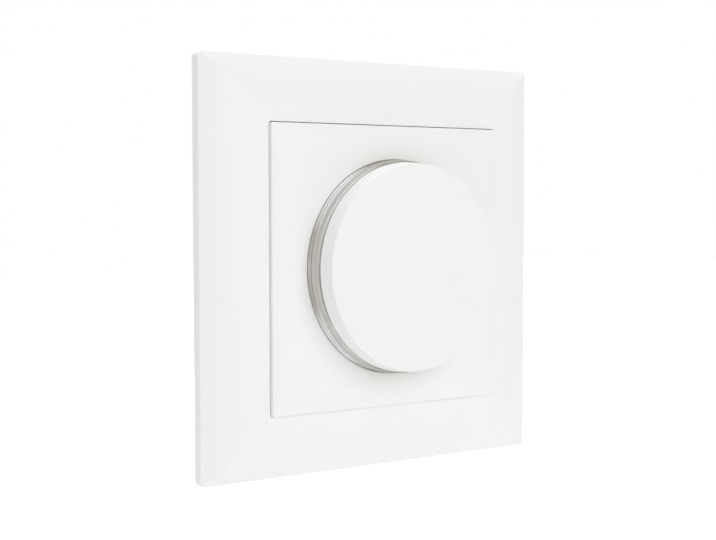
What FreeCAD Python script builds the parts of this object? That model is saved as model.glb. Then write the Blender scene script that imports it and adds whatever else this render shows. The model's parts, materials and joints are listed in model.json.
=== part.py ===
"""Flush wall rotary dimmer with a push-and-turn knob, as a parametric document.

The wall plane is Y = 0 and the front of the dimmer faces -Y, with Z up.  The origin is the
centre of the wall plane.  Heights in the sheet are measured forward from the wall plane, so a
height of 5 lies at Y = -5, and depths are measured backward into the wall box.
"""

import FreeCAD, Part
import math
import os

import Sketcher

SIZES = {
    # Outer cover frame
    "frame_side": 80.5,
    "frame_corner_radius": 1.2,
    "frame_edge_height": 2.0,
    "frame_edge_round": 0.3,
    "frame_lip_round": 0.15,
    "frame_inner_height": 6.35,
    "frame_crown_radius": 21.0,
    "frame_wall": 1.6,
    "frame_gap": 0.1,
    "frame_ledge_width": 1.2,
    "frame_ledge_height": 3.0,
    "frame_rib_thickness": 1.0,
    "frame_rib_spread": 30.0,
    # Centre plate
    "plate_side": 55.0,
    "plate_corner_radius": 0.5,
    "plate_edge_height": 7.2,
    "plate_edge_round": 0.25,
    "plate_crown_height": 8.9,
    "plate_shoulder_height": 8.15,
    "plate_shoulder_half": 24.6,
    "plate_wall": 1.6,
    "plate_roof": 1.9,
    "hook_width": 7.0,
    "hook_thickness": 1.3,
    "hook_spread": 30.0,
    "hook_nose": 1.0,
    "hook_nose_height": 1.3,
    "hook_play": 0.3,
    # Light ring
    "ring_radius": 20.84,
    "ring_draft": 0.25,
    "ring_wall": 2.0,
    "ring_top_height": 11.85,
    "ring_top_chamfer": 0.2,
    "ring_flange_width": 1.0,
    "ring_flange_height": 6.4,
    "ring_flange_thickness": 1.1,
    "ring_clearance": 0.1,
    # Knob
    "knob_set_in": 0.55,
    "knob_taper": 0.29,
    "knob_rim_height": 12.42,
    "knob_face_height": 15.9,
    "knob_edge_round": 0.45,
    "knob_roof": 1.6,
    "knob_spigot_clearance": 0.34,
    "knob_spigot_wall": 1.4,
    "knob_spigot_height": 9.4,
    "knob_hub_radius": 5.2,
    "knob_hub_height": 8.2,
    "knob_rib_thickness": 1.0,
    "knob_rib_height": 11.4,
    "clip_width": 3.4,
    "clip_length": 4.6,
    "clip_thickness": 0.3,
    "clip_bow": 0.4,
    "clip_clearance": 0.2,
    "press_travel": 0.5,
    # Spindle and encoder
    "spindle_radius": 3.0,
    "spindle_flat": 1.5,
    "spindle_flat_height": 7.8,
    "spindle_collar_radius": 3.9,
    "spindle_collar_thickness": 1.2,
    "spindle_drive_radius": 2.4,
    "spindle_drive_half": 1.8,
    "spindle_hole_clearance": 0.3,
    "running_clearance": 0.05,
    "bushing_radius": 4.5,
    "bushing_height": 7.2,
    "bushing_plate": 1.2,
    "encoder_side": 13.6,
    "encoder_depth": 5.8,
    "encoder_floor": 1.0,
    "wheel_radius": 5.3,
    "wheel_thickness": 2.2,
    "wheel_notch_depth": 0.25,
    "wheel_notch_radius": 0.5,
    "wheel_top_depth": 1.7,
    "wheel_hub_radius": 3.6,
    "spring_thickness": 0.25,
    "spring_bump_radius": 0.325,
    "spring_angle": 120.0,
    "nut_flats": 13.0,
    "nut_thickness": 2.0,
    "washer_radius": 6.8,
    "washer_thickness": 0.5,
    # Push switch
    "switch_cavity_radius": 3.4,
    "switch_cavity_depth": 2.7,
    "plunger_clearance": 0.08,
    "plunger_thickness": 0.7,
    "plunger_nib_radius": 1.1,
    "plunger_nib_length": 0.7,
    "dome_radius": 3.0,
    "dome_rise": 1.0,
    "dome_thickness": 0.15,
    "pin_width": 0.8,
    "pin_thickness": 0.4,
    "pin_pitch": 2.5,
    "pin_reach": 2.0,
    # Support ring
    "support_margin": 3.15,
    "support_corner_radius": 4.0,
    "support_thickness": 1.0,
    "box_screw_inset": 5.5,
    "box_screw_radius": 2.1,
    "box_slot_length": 9.0,
    # Insert housing and cover
    "housing_side": 49.0,
    "housing_radius": 28.0,
    "housing_depth": 25.0,
    "housing_wall": 1.6,
    "housing_edge_round": 1.0,
    "lid_rim": 0.8,
    "lid_thickness": 1.2,
    "lid_clearance": 0.1,
    "hat_side": 38.8,
    "hat_radius": 21.4,
    "hat_height": 3.2,
    "hat_wall": 1.5,
    "boss_place": 17.25,
    "boss_radius": 2.4,
    "screw_radius": 1.0,
    "screw_hole_clearance": 0.3,
    "screw_length": 9.0,
    "screw_head_radius": 2.2,
    "screw_head_height": 1.4,
    "post_across": 20.8,
    "post_up": 9.0,
    "post_radius": 1.4,
    "vent_width": 1.3,
    "vent_length": 18.0,
    "vent_pitch": 3.2,
    "vent_height": 2.0,
    # Circuit board and what it carries
    "board_depth": 8.8,
    "board_thickness": 1.6,
    "board_clearance": 0.3,
    "led_board_hole": 7.6,
    "led_board_thickness": 1.0,
    "led_side": 2.0,
    "led_height": 0.7,
    "link_height": 12.0,
    "link_pitch": 2.54,
    "link_pin_side": 0.64,
    "link_spacer_height": 2.5,
    "link_spacer_width": 2.5,
    "pin_hole_clearance": 0.12,
    "chip_side": 7.0,
    "chip_height": 1.2,
    "chip_across": -12.0,
    "chip_up": -10.0,
    "choke_across": -12.4,
    "choke_radius": 5.0,
    "choke_core_width": 3.4,
    "choke_core_height": 4.4,
    "choke_wire": 0.8,
    "capacitor_across": 11.0,
    "capacitor_up": 3.0,
    "capacitor_width": 13.0,
    "capacitor_breadth": 6.0,
    "capacitor_floor_gap": 2.0,
    "fuse_across": 14.0,
    "fuse_up": -7.0,
    "fuse_radius": 4.1,
    "fuse_height": 8.0,
    "transistor_across": 6.2,
    "transistor_width": 10.0,
    "transistor_thickness": 4.4,
    "transistor_floor_gap": 3.0,
    "spreader_width": 25.0,
    "spreader_thickness": 1.5,
    # Terminals
    "terminal_pitch": 8.0,
    "terminal_block_width": 25.6,
    "terminal_block_height": 10.0,
    "terminal_cell_width": 6.2,
    "terminal_back_wall": 3.0,
    "terminal_front_wall": 2.0,
    "terminal_clearance": 0.1,
    "terminal_clamp_height": 6.8,
    "terminal_roof": 1.5,
    "wire_radius": 1.75,
    "wire_drop": 2.6,
    "clamp_opening": 3.6,
    "terminal_screw_radius": 1.5,
    "terminal_screw_length": 3.2,
    "screw_tip_gap": 0.4,
    "terminal_head_radius": 1.9,
    "terminal_head_height": 1.2,
    "access_radius": 2.2,
    "thread_clearance": 0.03,
    "slot_width": 0.6,
    "slot_depth": 0.6,
}

LED_COUNT = 8
NOTCH_COUNT = 20
KNOB_RIB_COUNT = 6
WINDING_TURNS = 12
VENT_COUNT = 4

# How near a length must be to count as the same
NEAR = 1e-3
# Share of its half width that rounds the corners of the plate's swelling
SHOULDER_ROUNDNESS = 0.45
MIDDLE_ROUNDNESS = 0.98
# Radius of the round along the frame's rim and lip, as a share of its width
RIM_ROUNDNESS = 1.6
LIP_ROUNDNESS = 1.1
# How deep a hook's stem runs into the skirt that carries it
HOOK_BITE = 0.4
# How far up and to the right the frame rests in its play round the plate, as a share of the gap
FRAME_LEAN = 0.7
# Depth of the housing screws' blind holes past the screws' ends
PILOT_REST = 0.3
# Terminal block, clamps and other rows of three have one in the middle and one each side
ROW_OF_THREE = (-1, 0, 1)

doc = FreeCAD.newDocument("RotaryDimmer")
sheet = doc.addObject("Spreadsheet::Sheet", "Sizes")
for row, (alias, number) in enumerate(SIZES.items(), start=1):
    sheet.set(f"A{row}", alias)
    sheet.set(f"B{row}", str(number))
    sheet.setAlias(f"B{row}", alias)
doc.recompute()


class Formula:
    """A size worked out from the sheet: its number, and the expression that binds it."""

    def __init__(self, number, text):
        self.number = number
        self.text = text

    def __add__(self, other):
        other = formula(other)
        return Formula(self.number + other.number, f"({self.text} + {other.text})")

    def __radd__(self, other):
        return formula(other) + self

    def __sub__(self, other):
        other = formula(other)
        return Formula(self.number - other.number, f"({self.text} - {other.text})")

    def __rsub__(self, other):
        return formula(other) - self

    def __mul__(self, other):
        other = formula(other)
        return Formula(self.number * other.number, f"({self.text} * {other.text})")

    def __rmul__(self, other):
        return formula(other) * self

    def __truediv__(self, other):
        other = formula(other)
        return Formula(self.number / other.number, f"({self.text} / {other.text})")

    def __neg__(self):
        return Formula(-self.number, f"(-1 * {self.text})")


def formula(thing):
    """A plain number as a formula; a formula as it is."""
    return thing if isinstance(thing, Formula) else Formula(float(thing), f"({float(thing)})")


def root(thing):
    """Square root of a formula."""
    return Formula(math.sqrt(thing.number), f"sqrt({thing.text})")


def cosine(angle):
    """Cosine of an angle in degrees."""
    return Formula(math.cos(math.radians(angle.number)), f"cos({angle.text} * 1 deg)")


def sine(angle):
    """Sine of an angle in degrees."""
    return Formula(math.sin(math.radians(angle.number)), f"sin({angle.text} * 1 deg)")


class Names:
    """Every driving size as an attribute."""

    def __init__(self):
        for name in SIZES:
            setattr(self, name, Formula(float(sheet.get(name)), f"Sizes.{name}"))


size = Names()


def bind(thing, prop, value):
    """Set a property to a formula, and bind it to the sheet."""
    thing.setExpression(prop, formula(value).text)


class Loop:
    """A closed outline: corners joined by straight sides, or by arcs where a radius is given.

    A positive radius turns left on the way from one corner to the next.
    """

    def __init__(self, corners, arcs=None):
        self.corners = [(formula(x), formula(y)) for x, y in corners]
        self.arcs = arcs or {}

    def draw(self, sketch):
        """Put the outline in a sketch, with every corner and radius bound to the sheet."""
        points = [FreeCAD.Vector(x.number, y.number, 0) for x, y in self.corners]
        ends = []
        for index, start in enumerate(points):
            stop = points[(index + 1) % len(points)]
            radius = self.arcs.get(index)
            if radius is None:
                element = sketch.addGeometry(Part.LineSegment(start, stop), False)
                ends.append((element, 1, 2))
            else:
                ends.append(draw_arc(sketch, start, stop, formula(radius)))
        for index, (element, _, last) in enumerate(ends):
            after, first, _ = ends[(index + 1) % len(ends)]
            sketch.addConstraint(Sketcher.Constraint("Coincident", element, last, after, first))
        for (element, first, _), (x, y) in zip(ends, self.corners):
            fix_point(sketch, element, first, x, y)


class Circle:
    """A full circle, centred on the sketch's origin unless a centre is given."""

    def __init__(self, radius, x=0, y=0):
        self.radius = formula(radius)
        self.x = formula(x)
        self.y = formula(y)

    def draw(self, sketch):
        """Put the circle in a sketch, with its centre and radius bound to the sheet."""
        centre = FreeCAD.Vector(self.x.number, self.y.number, 0)
        up = FreeCAD.Vector(0, 0, 1)
        element = sketch.addGeometry(Part.Circle(centre, up, self.radius.number), False)
        measure(sketch, self.radius, "Radius", element)
        fix_point(sketch, element, 3, self.x, self.y)


def draw_arc(sketch, start, stop, radius):
    """Arc between two points; returns the element and its ends in the order of travel."""
    chord = stop - start
    left = FreeCAD.Vector(-chord.y, chord.x, 0).normalize()
    rise = math.sqrt(max(radius.number ** 2 - chord.Length ** 2 / 4, 0.0))
    centre = (start + stop) * 0.5 + left * math.copysign(rise, radius.number)
    circle = Part.Circle(centre, FreeCAD.Vector(0, 0, 1), abs(radius.number))
    turns_left = radius.number > 0
    begin, end = (start, stop) if turns_left else (stop, start)
    angles = [math.atan2(point.y - centre.y, point.x - centre.x) for point in (begin, end)]
    element = sketch.addGeometry(Part.ArcOfCircle(circle, angles[0], angles[1]), False)
    measure(sketch, radius if turns_left else -radius, "Radius", element)
    return (element, 1, 2) if turns_left else (element, 2, 1)


def measure(sketch, value, kind, *where):
    """Add a dimension to a sketch, and bind it to the sheet."""
    index = sketch.addConstraint(Sketcher.Constraint(kind, *where, value.number))
    sketch.setExpression(f"Constraints[{index}]", value.text)


def fix_point(sketch, element, point, x, y):
    """Hold a point of a sketch at two formulas, measured from the sketch's origin."""
    for value, kind, axis in ((x, "DistanceX", -2), (y, "DistanceY", -1)):
        if value.text == "(0.0)":
            sketch.addConstraint(Sketcher.Constraint("PointOnObject", element, point, axis))
        else:
            measure(sketch, value, kind, -1, 1, element, point)


def rectangle(left, bottom, right, top):
    """Rectangle between two corners."""
    return Loop([(left, bottom), (right, bottom), (right, top), (left, top)])


def centred(width, height, x=0, y=0):
    """Rectangle about a centre."""
    x, y = formula(x), formula(y)
    return rectangle(x - width / 2, y - height / 2, x + width / 2, y + height / 2)


def rounded(left, bottom, right, top, radius):
    """Rectangle between two corners, with round corners."""
    corners = [
        (left + radius, bottom), (right - radius, bottom),
        (right, bottom + radius), (right, top - radius),
        (right - radius, top), (left + radius, top),
        (left, top - radius), (left, bottom + radius),
    ]
    return Loop(corners, {1: radius, 3: radius, 5: radius, 7: radius})


def rounded_square(half, radius):
    """Square about the origin, with round corners."""
    return rounded(-half, -half, half, half, radius)


def barrel(half, radius):
    """Square about the origin, with its corners turned off to a circle about the origin."""
    flat = root(radius * radius - half * half)
    corners = [
        (-flat, -half), (flat, -half), (half, -flat), (half, flat),
        (flat, half), (-flat, half), (-half, flat), (-half, -flat),
    ]
    return Loop(corners, {1: radius, 3: radius, 5: radius, 7: radius})


def slot(half_length, radius, x=0, y=0):
    """Slot along the sketch's first axis, about a centre."""
    x, y = formula(x), formula(y)
    straight = half_length - radius
    corners = [
        (x - straight, y - radius), (x + straight, y - radius), (x + half_length, y),
        (x + straight, y + radius), (x - straight, y + radius), (x - half_length, y),
    ]
    return Loop(corners, {1: radius, 2: radius, 4: radius, 5: radius})


def corners_of(across, up):
    """The four places at plus and minus two distances."""
    return [(across, up), (-across, up), (-across, -up), (across, -up)]


class Piece:
    """One separate physical piece, built as a body of its own."""

    FRONT = "XZ_Plane"
    TOP = "XY_Plane"
    SIDE = "YZ_Plane"

    def __init__(self, label, separate=False):
        self.body = doc.addObject("PartDesign::Body", label)
        self.body.Label = label
        self.body.AllowCompound = separate

    def origin(self, role):
        """One of the body's own planes or axes."""
        return next(item for item in self.body.Origin.OriginFeatures if item.Role == role)

    def sketch(self, loops, plane=FRONT, offset=0):
        """Sketch of outlines on one of the body's planes, moved along its normal."""
        sketch = self.body.newObject("Sketcher::SketchObject", f"{self.body.Label}_outline")
        sketch.AttachmentSupport = [(self.origin(plane), "")]
        sketch.MapMode = "FlatFace"
        bind(sketch, "AttachmentOffset.Base.z", offset)
        for loop in loops:
            loop.draw(sketch)
        return sketch

    def feature(self, kind, name, sketch=None):
        """New feature of the body, over a sketch where it has one."""
        made = self.body.newObject(f"PartDesign::{kind}", f"{self.body.Label}_{name}")
        if sketch is not None:
            made.Profile = sketch
            sketch.Visibility = False
        return made

    def add(self, low, high, *loops, plane=FRONT):
        """Solid over outlines, from one height to another along the plane's normal."""
        made = self.feature("Pad", "pad", self.sketch(loops, plane, low))
        bind(made, "Length", high - low)
        return made

    def cut(self, low, high, *loops, plane=FRONT):
        """Cut away outlines, from one height to another along the plane's normal."""
        doc.recompute()
        before = self.body.Shape.Volume
        made = self.feature("Pocket", "pocket", self.sketch(loops, plane, high))
        bind(made, "Length", high - low)
        doc.recompute()
        if made.Shape.Volume >= before:
            raise ValueError(f"{made.Name} cuts nothing")
        return made

    def turn(self, *loops):
        """Solid turned about the Y axis; a corner is a radius and a position along Y."""
        made = self.feature("Revolution", "turned", self.sketch(loops, self.TOP))
        made.ReferenceAxis = (made.Profile[0], ["V_Axis"])
        made.Angle = 360.0
        return made

    def loft(self, kind, sections):
        """Solid or cut through outlines at rising heights."""
        sketches = [self.sketch([loop], self.FRONT, height) for height, loop in sections]
        made = self.feature(kind, "loft", sketches[0])
        made.Sections = sketches[1:]
        return made

    def around(self, features, count):
        """Repeat features around the Y axis."""
        made = self.feature("PolarPattern", "around")
        made.Originals = features
        made.Axis = (self.origin("Y_Axis"), [""])
        made.Angle = 360.0
        made.Occurrences = count
        self.body.Tip = made
        return made

    def mirror(self, features, plane):
        """Repeat features on the other side of a plane."""
        made = self.feature("Mirrored", "mirrored")
        made.Originals = features
        made.MirrorPlane = (self.origin(plane), [""])
        self.body.Tip = made
        return made

    def along(self, features, axis, pitch, count):
        """Repeat features in a row along an axis, forward from the first."""
        made = self.feature("LinearPattern", "row")
        made.Originals = features
        made.Direction = (self.origin(axis), [""])
        bind(made, "Length", pitch * (count - 1))
        made.Occurrences = count
        self.body.Tip = made
        return made

    def dress(self, kind, name, value, chosen):
        """Round or bevel the edges that a test chooses."""
        doc.recompute()
        base = self.body.Tip
        edges = [f"Edge{i}" for i, edge in enumerate(base.Shape.Edges, start=1) if chosen(edge)]
        if not edges:
            raise ValueError(f"{self.body.Label} has no edge for its {name}")
        made = self.feature(kind, name)
        made.Base = (base, edges)
        bind(made, "Radius" if kind == "Fillet" else "Size", value)
        return made


def at_height(edge, value):
    """Whether an edge lies flat at a height in front of the wall plane."""
    box = edge.BoundBox
    return abs(box.YMin + value.number) < NEAR and abs(box.YMax + value.number) < NEAR


def support_front():
    """Height of the support ring's front face, where the cover parts bear."""
    return size.support_thickness


def frame_opening():
    """Half width of the cover frame's opening, round the centre plate."""
    return size.plate_side / 2 + size.frame_gap


def crown_height(across, inset=0):
    """Height of the frame's crowned front at a distance across, or of its hollow below."""
    half, opening = size.frame_side / 2, frame_opening()
    width, rise = half - opening, size.frame_inner_height - size.frame_edge_height
    chord = root(width * width + rise * rise)
    reach = root(size.frame_crown_radius * size.frame_crown_radius - chord * chord / 4)
    centre_across = (half + opening) / 2 - reach * rise / chord
    centre_height = (size.frame_edge_height + size.frame_inner_height) / 2 - reach * width / chord
    radius = size.frame_crown_radius - inset
    offset = across - centre_across
    return centre_height + root(radius * radius - offset * offset)


def cover_frame():
    """Hollow crowned frame, swept round its opening with mitred corners."""
    piece = Piece("cover_frame")
    half, opening, wall = size.frame_side / 2, frame_opening(), size.frame_wall
    hollow_in, hollow_out = opening + wall, half - wall
    ledge = opening - size.frame_ledge_width
    path = piece.sketch([Loop([
        (opening, 0), (opening, opening), (-opening, opening),
        (-opening, -opening), (opening, -opening),
    ])])
    bevel, lip_round = size.frame_edge_round, size.frame_lip_round
    rim, lip = half - bevel, opening + lip_round
    section = Loop([
        (half, 0), (half, -(size.frame_edge_height - bevel / 2)), (rim, -crown_height(rim)),
        (lip, -crown_height(lip)), (opening, -(crown_height(lip) - lip_round)),
        (opening, -size.frame_ledge_height),
        (ledge, -size.frame_ledge_height), (ledge, -support_front()),
        (hollow_in, -support_front()), (hollow_in, -crown_height(hollow_in, wall)),
        (hollow_out, -crown_height(hollow_out, wall)), (hollow_out, 0),
    ], {
        1: -bevel * RIM_ROUNDNESS, 2: -size.frame_crown_radius, 3: -lip_round * LIP_ROUNDNESS,
        9: size.frame_crown_radius - wall,
    })
    sweep = piece.feature("AdditivePipe", "sweep", piece.sketch([section], Piece.TOP))
    sweep.Spine = (path, [])
    sweep.Transition = "Right corner"
    path.Visibility = False
    root_across, foot = opening + wall / 2, -(support_front() + size.hook_play)
    web = Loop([
        (root_across, foot), (root_across, -crown_height(root_across, wall / 2)),
        (hollow_out, foot),
    ], {1: size.frame_crown_radius - wall / 2})
    ribs = []
    for side in (1, -1):
        low = side * size.frame_rib_spread / 2
        ribs.append(piece.add(low, low + size.frame_rib_thickness, web, plane=Piece.TOP))
    piece.around(ribs, 4)
    inner_round = size.plate_corner_radius + size.frame_gap
    near = opening - inner_round
    filling = piece.add(
        size.frame_ledge_height, crown_height(lip) - lip_round,
        Loop([(near, opening), (opening, near), (opening + wall / 2, opening + wall / 2)],
             {0: -inner_round}),
    )
    piece.around([filling], 4)
    outer_round = size.frame_corner_radius
    near, beyond = half - outer_round, half + outer_round
    trim = piece.cut(0, size.frame_edge_height * 2, Loop(
        [(near, half), (half, near), (beyond, near), (beyond, beyond), (near, beyond)],
        {0: -outer_round},
    ))
    piece.around([trim], 4)
    lean = size.frame_gap * FRAME_LEAN
    bind(piece.body, "Placement.Base.x", lean)
    bind(piece.body, "Placement.Base.z", lean)
    return piece


def plate_sections(inset, drop):
    """Outlines from the plate's square edge up to its round middle, at their heights."""
    edge_round = size.plate_edge_round
    corner = size.plate_corner_radius - edge_round
    half = size.plate_side / 2 - edge_round - inset
    shoulder = size.plate_shoulder_half - inset
    middle = size.ring_radius + size.ring_clearance
    return [
        (size.plate_edge_height - drop, rounded_square(half, corner)),
        (size.plate_shoulder_height - drop, rounded_square(shoulder, shoulder * SHOULDER_ROUNDNESS)),
        (size.plate_crown_height - drop, rounded_square(middle, middle * MIDDLE_ROUNDNESS)),
    ]


def centre_plate():
    """Square plate that swells to a round middle, with a skirt and four snap hooks behind."""
    piece = Piece("centre_plate")
    half, wall, corner = size.plate_side / 2, size.plate_wall, size.plate_corner_radius
    piece.add(size.frame_ledge_height, size.plate_edge_height, rounded_square(half, corner))
    piece.dress("Fillet", "edge", size.plate_edge_round, lambda edge: (
        at_height(edge, size.plate_edge_height)
    ))
    piece.loft("AdditiveLoft", plate_sections(0, 0))
    hollow_top = size.plate_edge_height - size.plate_roof
    seat = size.ring_flange_height
    piece.cut(size.frame_ledge_height, seat, Circle(ring_flange() + size.ring_clearance))
    piece.cut(size.frame_ledge_height, hollow_top, rounded_square(half - wall, corner))
    piece.loft("SubtractiveLoft", plate_sections(wall, size.plate_roof))
    opening = size.ring_radius + size.ring_clearance
    piece.add(seat, size.plate_edge_height, Circle(ring_flange()), Circle(opening))
    piece.cut(size.frame_ledge_height, size.plate_crown_height, Circle(opening))
    foot = -size.hook_nose_height - size.hook_play
    stem_out = half - wall + HOOK_BITE
    stem_in = stem_out - size.hook_thickness
    hooks = []
    for side in (1, -1):
        up = side * size.hook_spread / 2
        hooks.append(piece.add(
            foot, size.frame_ledge_height + wall,
            centred(size.hook_thickness, size.hook_width, (stem_in + stem_out) / 2, up),
        ))
        catch = Loop([
            (stem_in, -foot), (stem_out, -foot),
            (stem_out + size.hook_nose, size.hook_play), (stem_in, size.hook_play),
        ])
        low = up - size.hook_width / 2
        hooks.append(piece.add(low, low + size.hook_width, catch, plane=Piece.TOP))
    piece.mirror(hooks, Piece.SIDE)
    return piece


def turned(pairs):
    """Outline for a turned piece, from pairs of radius and height."""
    return Loop([(radius, -formula(height)) for radius, height in pairs])


def ring_flange():
    """Radius of the light ring's flange."""
    return size.ring_radius + size.ring_flange_width


def light_ring():
    """Clear ring round the foot of the knob, with a flange seated under the centre plate."""
    piece = Piece("light_ring")
    outer, inner = size.ring_radius, size.ring_radius - size.ring_wall
    top, flange, bevel = size.ring_top_height, size.ring_flange_height, size.ring_top_chamfer
    foot = flange - size.ring_flange_thickness
    tip = outer - size.ring_draft
    piece.turn(turned([
        (inner, foot), (ring_flange(), foot), (ring_flange(), flange),
        (outer, flange), (outer, size.plate_crown_height), (tip, top - bevel),
        (tip - bevel, top), (inner + bevel, top), (inner, top - bevel),
    ]))
    return piece


def knob_ceiling():
    """Height of the underside of the knob's roof, which rests on the spindle's end."""
    return size.knob_face_height - size.knob_roof


def knob_cap():
    """Hollow knob: a round cap with a skirt inside the light ring, a hub and ribs."""
    piece = Piece("knob_cap")
    face, rim = size.knob_face_height, size.knob_rim_height
    ceiling = knob_ceiling()
    rim_radius = size.ring_radius - size.knob_set_in
    face_radius = rim_radius - size.knob_taper
    skirt = size.ring_radius - size.ring_wall - size.knob_spigot_clearance
    skirt_in = skirt - size.knob_spigot_wall
    hub, bore = size.knob_hub_radius, size.spindle_radius + size.running_clearance
    piece.turn(turned([
        (0, face), (face_radius, face), (rim_radius, rim), (skirt, rim),
        (skirt, size.knob_spigot_height), (skirt_in, size.knob_spigot_height),
        (skirt_in, ceiling), (hub, ceiling), (hub, size.knob_hub_height),
        (bore, size.knob_hub_height), (bore, ceiling), (0, ceiling),
    ]))
    half = size.knob_rib_thickness / 2
    rib = piece.add(
        size.knob_rib_height, ceiling + size.knob_roof / 2,
        rectangle(hub - half, -half, skirt_in + half, half),
    )
    piece.around([rib], KNOB_RIB_COUNT)
    flat = size.spindle_flat + size.running_clearance
    clip_back = flat + size.clip_thickness + size.clip_bow
    reach = root(bore * bore - clip_back * clip_back)
    piece.add(
        size.knob_hub_height, ceiling, rectangle(clip_back, -reach, bore + half, reach),
    )
    piece.dress("Fillet", "edge", size.knob_edge_round, lambda edge: (
        at_height(edge, face) and edge.BoundBox.XLength > face_radius.number
    ))
    return piece


def shaft_clip():
    """Bowed leaf spring between the spindle's flat and the hub."""
    piece = Piece("shaft_clip")
    thickness, bow, half = size.clip_thickness, size.clip_bow, size.clip_width / 2
    near = size.spindle_flat + size.running_clearance
    top = knob_ceiling() - size.clip_clearance
    low = top - size.clip_length
    radius = (size.clip_length * size.clip_length / 4 + bow * bow) / (bow * 2)
    leaf = Loop([
        (near + bow, -low), (near + bow + thickness, -low),
        (near + bow + thickness, -top), (near + bow, -top),
    ], {1: radius, 3: -radius})
    piece.add(-half, half, leaf, plane=Piece.TOP)
    return piece


def spindle():
    """Shaft with a flat for the knob, a collar that holds it in and a two-flat drive end."""
    piece = Piece("spindle")
    radius, collar = size.spindle_radius, size.spindle_collar_radius
    top, shoulder = knob_ceiling(), collar_height()
    under = shoulder - size.spindle_collar_thickness
    bevel = size.spindle_drive_radius / 6
    piece.turn(turned([
        (0, top), (radius - bevel, top), (radius, top - bevel),
        (radius, shoulder), (collar, shoulder),
        (collar, under), (size.spindle_drive_radius, under),
        (size.spindle_drive_radius, spindle_foot()), (0, spindle_foot()),
    ]))
    flat, half = size.spindle_flat, size.spindle_drive_half
    piece.cut(
        size.spindle_flat_height, top,
        rectangle(flat, -radius, radius * 2, radius),
    )
    for side in (1, -1):
        piece.cut(
            spindle_foot(), under,
            centred(size.spindle_drive_radius * 2, size.spindle_drive_radius, 0,
                    side * (half + size.spindle_drive_radius / 2)),
        )
    return piece


def encoder_front():
    """Height of the encoder plate's front face, under the insert cover."""
    return size.hat_height - size.hat_wall


def encoder_case_top():
    """Height where the encoder's plate meets its moulded case."""
    return encoder_front() - size.bushing_plate


def collar_height():
    """Height of the top of the spindle's collar at rest."""
    return encoder_case_top() - size.running_clearance


def case_foot():
    """Height of the back of the encoder case."""
    return encoder_case_top() - size.encoder_depth


def spindle_foot():
    """Height of the spindle's back end at rest."""
    return case_foot() - size.running_clearance


def case_cavity():
    """Radius inside the encoder case: the wheel and the spring's bump beside it."""
    return size.wheel_radius + size.running_clearance + size.spring_bump_radius * 2


def encoder_bushing():
    """Metal plate with a threaded bush that guides the spindle."""
    piece = Piece("encoder_bushing")
    bore = size.spindle_radius + size.running_clearance
    piece.add(
        encoder_case_top(), encoder_front(),
        centred(size.encoder_side, size.encoder_side), Circle(bore),
    )
    piece.add(encoder_front(), size.bushing_height, Circle(size.bushing_radius), Circle(bore))
    return piece


def encoder_case():
    """Moulded case round the detent wheel."""
    piece = Piece("encoder_case")
    side = size.encoder_side
    piece.add(case_foot(), encoder_case_top(), centred(side, side))
    floor = case_foot() + size.encoder_floor
    piece.cut(floor, encoder_case_top(), Circle(case_cavity()))
    hole = size.spindle_drive_radius + size.spindle_hole_clearance
    piece.cut(case_foot(), case_foot() + size.encoder_floor, Circle(hole))
    return piece


def wheel_top():
    """Height of the detent wheel's front face."""
    return encoder_case_top() - size.wheel_top_depth - size.press_travel


def detent_wheel():
    """Notched wheel that turns with the spindle and lets it slide."""
    piece = Piece("detent_wheel")
    top = wheel_top()
    under = top - size.wheel_thickness
    foot = case_foot() + size.encoder_floor + size.running_clearance
    drive, half = size.spindle_drive_radius, size.spindle_drive_half
    gap = size.running_clearance
    hole_radius, hole_half = drive + gap, half + gap
    edge = root(hole_radius * hole_radius - hole_half * hole_half)
    hole = Loop([
        (edge, hole_half), (-edge, hole_half), (-edge, -hole_half), (edge, -hole_half),
    ], {1: hole_radius, 3: hole_radius})
    piece.add(under, top, Circle(size.wheel_radius), hole)
    piece.add(foot, under, Circle(size.wheel_hub_radius), hole)
    notch_place = size.wheel_radius + size.wheel_notch_radius - size.wheel_notch_depth
    notch = piece.cut(under, top, Circle(size.wheel_notch_radius, 0, notch_place))
    piece.around([notch], NOTCH_COUNT)
    return piece


def detent_spring():
    """Curved leaf in the case with a bump that stands over the wheel's notches."""
    piece = Piece("detent_spring")
    outer = case_cavity()
    inner = outer - size.spring_thickness
    half_angle = size.spring_angle / 2
    across, up = sine(half_angle), cosine(half_angle)
    low, high = wheel_top() - size.wheel_thickness, wheel_top()
    piece.add(low, high, Loop([
        (inner * across, inner * up), (outer * across, outer * up),
        (-outer * across, outer * up), (-inner * across, inner * up),
    ], {1: outer, 3: -inner}))
    bump = size.spring_bump_radius
    place = size.wheel_radius + size.running_clearance + bump
    piece.add(low, high, Circle(bump, 0, place))
    return piece


def lock_washer():
    """Washer on the insert cover, round the threaded bush."""
    piece = Piece("lock_washer")
    top = size.hat_height + size.washer_thickness
    piece.add(size.hat_height, top, Circle(size.washer_radius), Circle(bush_hole()))
    return piece


def bush_hole():
    """Radius of a hole that the threaded bush passes through."""
    return size.bushing_radius + size.running_clearance


def hex_nut():
    """Hexagon nut that clamps the encoder to the insert cover."""
    piece = Piece("hex_nut")
    low = size.hat_height + size.washer_thickness
    half = size.nut_flats / 2
    point = size.nut_flats / math.sqrt(3)
    piece.add(low, low + size.nut_thickness, Loop([
        (point, 0), (point / 2, half), (-point / 2, half),
        (-point, 0), (-point / 2, -half), (point / 2, -half),
    ]), Circle(bush_hole()))
    return piece


def switch_foot():
    """Height of the back of the push switch, on the circuit board."""
    return -size.board_depth


def switch_floor():
    """Height of the floor inside the push switch."""
    return case_foot() - size.switch_cavity_depth


def switch_base():
    """Moulded base of the push switch, between the encoder and the circuit board."""
    piece = Piece("switch_base")
    side = size.encoder_side
    piece.add(switch_foot(), case_foot(), centred(side, side))
    piece.cut(switch_floor(), case_foot(), Circle(size.switch_cavity_radius))
    return piece


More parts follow.
